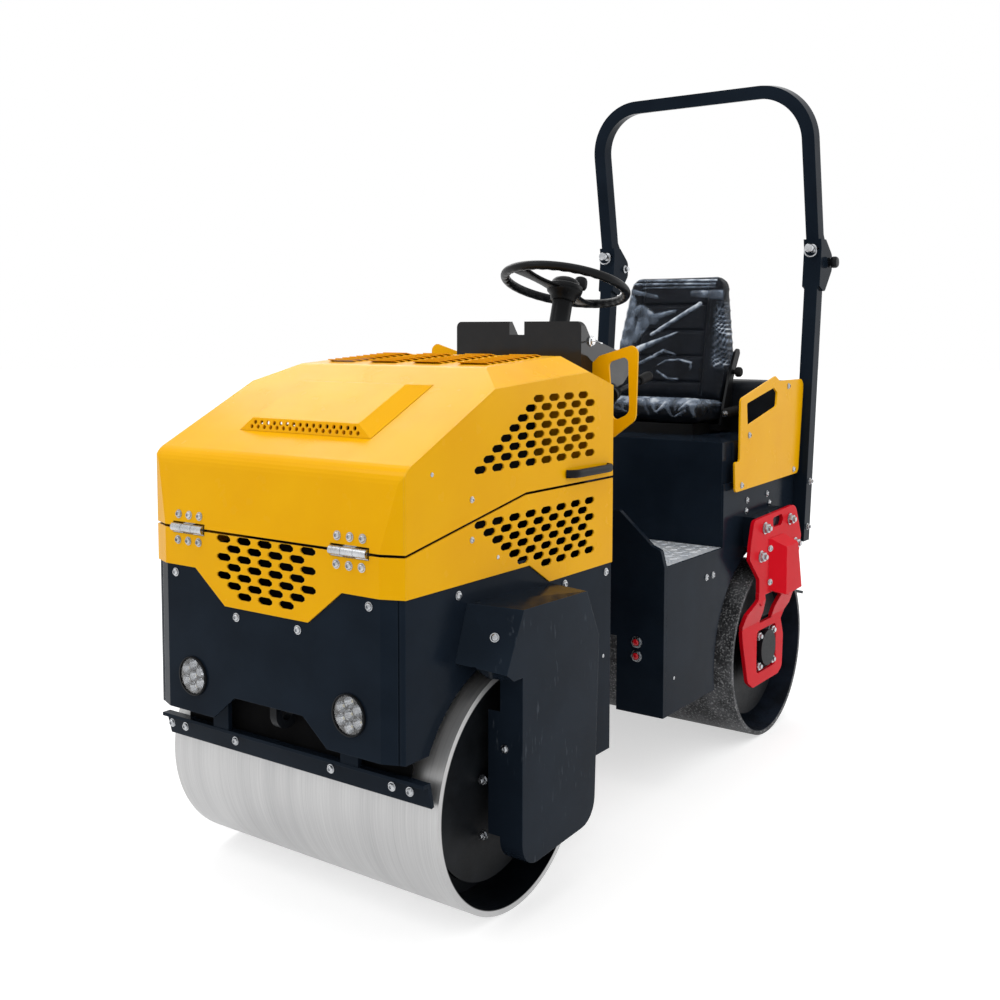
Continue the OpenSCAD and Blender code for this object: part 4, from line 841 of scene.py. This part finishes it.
def blown_pad(name, node, shrink, pressure, cap, channels):
    """A merged copy of a solid, drawn in by mm along each axis (let out where negative), remeshed,
    blown up by cloth pressure with each point held within the cap in mm, subdivided once, then
    pressed in by the channels' depth along the normal."""
    thing = linked(name, nodes[node].data.copy())
    merged(thing.data, 1e-5)
    points = coordinates(thing.data)
    middle = (points.min(0) + points.max(0)) / 2
    half = (points.max(0) - points.min(0)) / 2
    drawn = middle + (points - middle) * (1 - np.array(shrink) * MM / half)
    thing.data.vertices.foreach_set("co", drawn.ravel())
    voxels = thing.modifiers.new("voxels", "REMESH")
    voxels.mode, voxels.voxel_size = "VOXEL", VOXEL
    solid = baked(thing)
    cloth = thing.modifiers.new("foam", "CLOTH")
    cloth.settings.use_pressure = True
    cloth.settings.uniform_pressure_force = pressure
    cloth.settings.effector_weights.gravity = 0
    for step in range(1, 21):
        scene.frame_set(step)
    rest, full = coordinates(solid), coordinates(evaluated(thing))
    move = full - rest
    far = np.linalg.norm(move, axis=1, keepdims=True)
    thing.modifiers.clear()
    held = rest + move * np.minimum(1, cap * MM / np.maximum(far, 1e-9))
    solid.vertices.foreach_set("co", held.ravel())
    scene.frame_set(1)
    finer = thing.modifiers.new("finer", "SUBSURF")
    finer.levels = finer.render_levels = 1
    smooth = baked(thing)
    points, normals = coordinates(smooth), coordinates(smooth, "vertex_normals", "vector")
    smooth.vertices.foreach_set("co", (points - normals * channels(points, normals)[:, None] * MM).ravel())
    shade_smooth(smooth)
    smooth.materials.clear()
    smooth.materials.append(vinyl)
    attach(thing, "rear_frame")
    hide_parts(node)
    return thing


def groove(distance):
    """A sewn line's depth share at a distance from it: one on the line, gone two stitches away."""
    return np.exp(-(distance / STITCH) ** 2)


def back_channels(points, normals):
    """Upright seams on both sides of the middle and level seams between them, on the front face."""
    x, _, z = in_mm(points).T
    front = unit(-normals[:, 1] * 2 - 0.4)
    upright = groove(np.abs(x) - SEAM) * (z > 1085)
    level = sum(groove(z - h) for h in (1129, 1217, 1305, 1393)) * (np.abs(x) < SEAM)
    return 7.5 * front * unit(np.maximum(upright, level))


def cushion_channels(points, normals):
    """Seams on both sides of the middle running back, level seams between them, on the top face."""
    x, y, _ = in_mm(points).T
    top = unit(normals[:, 2] * 2 - 0.6)
    lengthwise = groove(np.abs(x) - SEAM)
    crosswise = sum(groove(y - h) for h in (1375, 1440, 1505)) * (np.abs(x) < SEAM)
    return 7.0 * top * unit(np.maximum(lengthwise, crosswise))


back_pad = blown_pad("seat_back_pad", "seat_back", (-6, 3, -8), 4.0, 7, back_channels)
cushion_pad = blown_pad("seat_cushion_pad", "seat_cushion", (-3, -1, 3), 4.0, 7, cushion_channels)
print("pads", len(back_pad.data.polygons), len(cushion_pad.data.polygons), "faces")

# %% Seat hardware
BOOT = [(0, 0), (9, 0), (12, 3)] + [(18 - 3 * (k % 2), 8 + 6 * k) for k in range(15)]
BOOT += [(12, 100), (0, 100)]
SEAT_SIDE, boot_at = 219.8, mirrored([(238, 1462, 1030)])
SIDE_KNOB = [(0, -2), (8, -2), (8, 8), (15, 10), (17, 14), (16.5, 24), (13, 28), (0, 29)]
piece("seat_bellows", [spun(BOOT, boot_at, (0, 1, 0.06), 28),
                       spun(SIDE_KNOB, *on_sides(SEAT_SIDE, [(1567, 1165)]))], "rear_frame", rubber)
piece("seat_bolts", [placed(small_hex, boot_at, AHEAD)], "rear_frame", zinc)

# %% [markdown]
# ## Shipping film
# A new machine leaves the works with its seat still bagged in thin polyethylene. Where the film
# lies on the vinyl it is clear, where it stands off in folds it looks milky, and its folds carry painted
# highlight as well. So the folds are a table of strokes across the seat, and one function gives both
# the film's rise and its milkiness with painted highlight.

# %% Film material and fold strokes
def polyethylene_film():
    """Low-density polyethylene, blown film: almost clear, glossy; milky, and lighter as painted highlight,
    where the mesh's haze_and_highlight value is high.
    """
    material, tree, shader, place = finish_tree("polyethylene_film", Specular_IOR_Level=0.16)
    folds = add(tree, "Attribute", attribute_name="haze_and_highlight").outputs["Fac"]
    fine = noise(tree, place, 11, 3)
    askew = add(tree, "Mapping", {"Vector": place, "Rotation": (0.7, 0.4, 0.5)}).outputs[0]
    drift = levels(tree, noise(tree, askew, 34, 5), 0.32, 0.68, 0.60, 1.30)
    haze_and_highlight = add(tree, "Math", {0: folds, 1: drift}, operation="MULTIPLY").outputs[0]
    # Pale where the value is high: milky film, with painted highlight on the folds.
    milk_and_highlight = ramp(tree, haze_and_highlight, [(0.0, "#1A2028"), (0.55, "#8593A6"), (1.0, "#EAF0F7")])
    feed(tree, shader, {"Base Color": milk_and_highlight, "Alpha": levels(tree, haze_and_highlight, 0.0, 0.9, 0.04, 0.92),
                        "Roughness": levels(tree, fine, 0.3, 0.7, 0.07, 0.17),
                        "Normal": bumped(tree, fine, 0.35, 0.0012)})
    return material


film = polyethylene_film()
FILM_GAP = 0.002


def strokes(x, z, table):
    """Rise in mm, and milkiness with painted highlight, of folds at places (x, z): each row of the table is a
    line from one point to another with a half width at each end; across the line the fold is a smooth
    bump, and its painted highlight is stronger on the side that faces up."""
    ax, az, bx, bz, wa, wb, rise, haze_and_highlight = np.array(table, float).T
    dx, dz = bx - ax, bz - az
    t = unit(((x[..., None] - ax) * dx + (z[..., None] - az) * dz) / (dx ** 2 + dz ** 2))
    sx, sz = x[..., None] - ax - t * dx, z[..., None] - az - t * dz
    off = np.hypot(sx, sz) / (wa + t * (wb - wa))
    bump = unit(1 - off ** 2)
    # The side of each fold that faces up is drawn lighter: painted highlight.
    lit = 0.82 + 0.38 * off * sz / np.maximum(np.hypot(sx, sz), 1e-6)
    return (rise * bump).max(-1), (haze_and_highlight * lit * unit(2.2 * bump)).max(-1)


def film_sheet(name, grid, folds, wrap, pad):
    """A film from a grid: laid on the pad two millimetres off, then its folds rise forwards, and their
    milkiness with painted highlight is kept on the points."""
    thing = linked(name, bpy.data.meshes.new(name))
    rows, columns = grid.shape[:2]
    thing.data.from_pydata(grid.reshape(-1, 3).tolist(), [], grid_quads(1, rows, columns, wrap).tolist())
    outside = thing.modifiers.new("outside", "SHRINKWRAP")
    outside.target, outside.wrap_mode, outside.offset = pad, "ABOVE_SURFACE", FILM_GAP
    skin = baked(thing)
    points, normals = coordinates(skin), coordinates(skin, "vertex_normals", "vector")
    rise, haze_and_highlight = folds(*in_mm(points).T, -normals[:, 1])
    skin.vertices.foreach_set("co", (points + rise[:, None] * MM * np.array(AHEAD)).ravel())
    milk_and_highlight = skin.attributes.new("haze_and_highlight", "FLOAT", "POINT")
    milk_and_highlight.data.foreach_set("value", haze_and_highlight.astype(np.float32))
    shade_smooth(skin)
    skin.materials.clear()
    skin.materials.append(film)
    area = np.empty(len(skin.polygons), np.float32)
    skin.polygons.foreach_get("area", area)
    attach(thing, "rear_frame")
    return thing


print("film", film.name)

# %% Film bag over the seat's back
# Folds: from (x, z) to (x, z), half widths at both ends, rise in mm, and milkiness that is partly painted
# highlight.
BACK_FOLDS = [
    (-172, 1405, -176, 1268, 30, 38, 2, 0.55), (-128, 1372, -70, 1342, 26, 22, 2, 0.5),
    (-112, 1330, -140, 1272, 30, 14, 2, 0.5), (-70, 1350, 8, 1370, 14, 7, 3, 0.55),
    (-74, 1290, 101, 1394, 8, 10, 6, 0.75), (-123, 1238, 23, 1297, 15, 4, 6, 0.72),
    (70, 1430, 196, 1422, 12, 22, 2, 0.5), (-173, 1441, -66, 1420, 12, 7, 3, 0.5),
    (-165, 1172, -125, 1182, 8, 7, 4, 0.6), (-125, 1182, -23, 1234, 8, 7, 5, 0.6),
    (-23, 1234, 22, 1222, 6, 5, 4, 0.5), (-39, 1185, -8, 1200, 4, 5, 4, 0.55),
    (-8, 1200, 40, 1204, 5, 5, 4, 0.6), (40, 1204, 85, 1194, 5, 6, 4, 0.6),
    (85, 1194, 86, 1174, 6, 4, 4, 0.5), (-41, 1163, 3, 1138, 5, 6, 4, 0.6),
    (3, 1138, 39, 1138, 6, 5, 4, 0.6), (-167, 1466, 149, 1461, 5, 5, 4, 0.6),
    (-160, 1480, 150, 1474, 5, 5, 4, 0.72), (-124, 1452, 146, 1451, 3, 5, 3, 0.5),
    (-150, 1491, 150, 1488, 6, 7, 2, 0.85),
]


def even_loop(power, wide, deep, count):
    """A rounded box round the origin, reaching one each way, as points evenly spaced along its outline
    when it is drawn wide by deep: cosine and sine of the turn, each raised to the power."""
    turn = np.linspace(0, 2 * np.pi, 20001)
    loop = signed(np.stack([np.cos(turn), np.sin(turn)], 1), power)
    run = np.concatenate([[0], np.cumsum(np.hypot(*(np.diff(loop, axis=0) * [wide, deep]).T))])
    even = np.linspace(0, run[-1], count, endpoint=False)
    return np.interp(even, run, loop[:, 0]), np.interp(even, run, loop[:, 1])


ux, uy = even_loop(0.28, 195, 35, 300)
v = np.linspace(0, 1, 170)[:, None]
FOOT, CLOSES, ROUNDED = 1073, 0.955, 0.98
shut = unit((v - CLOSES) / (1 - CLOSES))
z = 1082 + 396 * unit(v / CLOSES) + 13 * shut + 0 * ux
wide = np.interp(z, [FOOT, 1130, 1220, 1330, 1420, 1465, 1480], [194, 201, 214, 198, 184, 174, 160])
front = 1500 + (z - FOOT) * 0.169
rear = 1569 + (z - FOOT) * 0.174
open_ = np.sqrt(unit(1 - shut ** 2))
x = wide * (1 - 0.10 * shut) * ux
y = (front + rear) / 2 + (rear - front) / 2 * open_ * uy


def back_folds(x, y, z, facing):
    """The table's folds on the front face, and a crinkled mesh of two crossing waves by the left edge,
    whose crests are drawn milky and lighter: partly painted highlight.
    """
    rise, haze_and_highlight = strokes(x, z, BACK_FOLDS)
    front = unit(facing * 2 - 0.2)
    crisp = unit((x - 150) / 20) * unit((1412 - z) / 20) * unit((z - 1170) / 20)
    crisp = crisp * unit(facing * 2 + 1.2)
    bent = z + 7 * np.sin(x * 0.11 + z * 0.02) + 6 * np.sin(z * 0.057)
    hatch = np.abs(np.sin((0.8 * x + bent) * 0.21)) ** 6 + np.abs(np.sin((x - 0.8 * bent) * 0.17)) ** 6
    patchy = 0.75 + 0.25 * np.sin(z * 0.052 + 0.04 * x + 1.2)
    rise = rise * front + 2.4 * crisp * front * hatch
    # The crinkle's crests also carry painted highlight in the film's milky value.
    return rise, np.maximum(1.05 * haze_and_highlight * front, crisp * patchy * np.clip(0.12 + 0.62 * hatch, 0, 0.8))


back_film = film_sheet("seat_back_film", station(np.stack([x, y, z], -1)), back_folds, True, back_pad)
print("back film", len(back_film.data.polygons), "faces")

# %% Film over the cushion
across = np.linspace(-1, 1, 200)
along = np.linspace(0, 1, 110)[:, None]
HALF, HANGS, EDGE = 211, 60, 0.82
steps = [0, 0.12, 0.22, 0.32, 0.42, 1.0]
run = np.interp(along, steps, [1311, 1307, 1310, 1324, 1350, 1540])
up = np.interp(along, steps, [1014, 1040, 1068, 1086, 1087, 1069])
over = unit((np.abs(across) - EDGE) / (1 - EDGE))
x = HALF * np.sign(across) * unit(np.abs(across) / EDGE) + 0 * along
droop = np.sin(over * np.pi / 2) ** 2 * unit((up - 1008) / 80) * 66
y = run + 0 * x
z = up - droop
# Folds: from (x, z) to (x, z), half widths at both ends, rise in mm, and milkiness that is partly painted
# highlight.
CUSHION_FOLDS = [
    (-16, 1078, -30, 1045, 14, 6, 5, 0.62), (-30, 1045, -9, 1015, 7, 3, 5, 0.5),
    (5, 1070, 34, 1026, 9, 3, 4, 0.5), (34, 1080, 55, 1039, 15, 5, 6, 0.66),
    (60, 1036, 91, 1062, 4, 12, 5, 0.6), (91, 1062, 119, 1020, 12, 3, 5, 0.52),
    (119, 1020, 162, 1042, 3, 8, 4, 0.48), (141, 1045, 178, 1074, 5, 14, 5, 0.62),
    (-109, 1050, -52, 1033, 9, 4, 4, 0.4), (-190, 1078, -112, 1056, 16, 5, 3, 0.6),
    (-150, 1040, -120, 1014, 9, 3, 3, 0.34), (-80, 1076, -62, 1036, 12, 4, 3, 0.45),
    (120, 1078, 128, 1046, 12, 4, 4, 0.55), (185, 1060, 200, 1018, 12, 4, 3, 0.45),
]


def cushion_folds(x, y, z, facing):
    """The table's folds on the front face, and a painted highlight that drifts over the top."""
    rise, haze_and_highlight = strokes(x, z, CUSHION_FOLDS)
    # The top is drawn lighter: a painted highlight that drifts over it.
    top = unit((z - 1050) / 16)
    painted_sheen = 0.55 + 0.09 * np.sin(x * 0.045 + y * 0.07) + 0.06 * np.sin(x * 0.13 - y * 0.05)
    front = unit(facing * 2 - 0.1)
    return rise * front, np.maximum(haze_and_highlight * front, painted_sheen * top)


cushion_film = film_sheet("seat_cushion_film", station(np.stack([x, y, z], -1)), cushion_folds, False,
                          cushion_pad)
print("cushion film", len(cushion_film.data.polygons), "faces")

# %% [markdown]
# ## Colour view
# Colours are shown in the Standard view transform.

# %% Colour view
scene.view_settings.view_transform = "Standard"
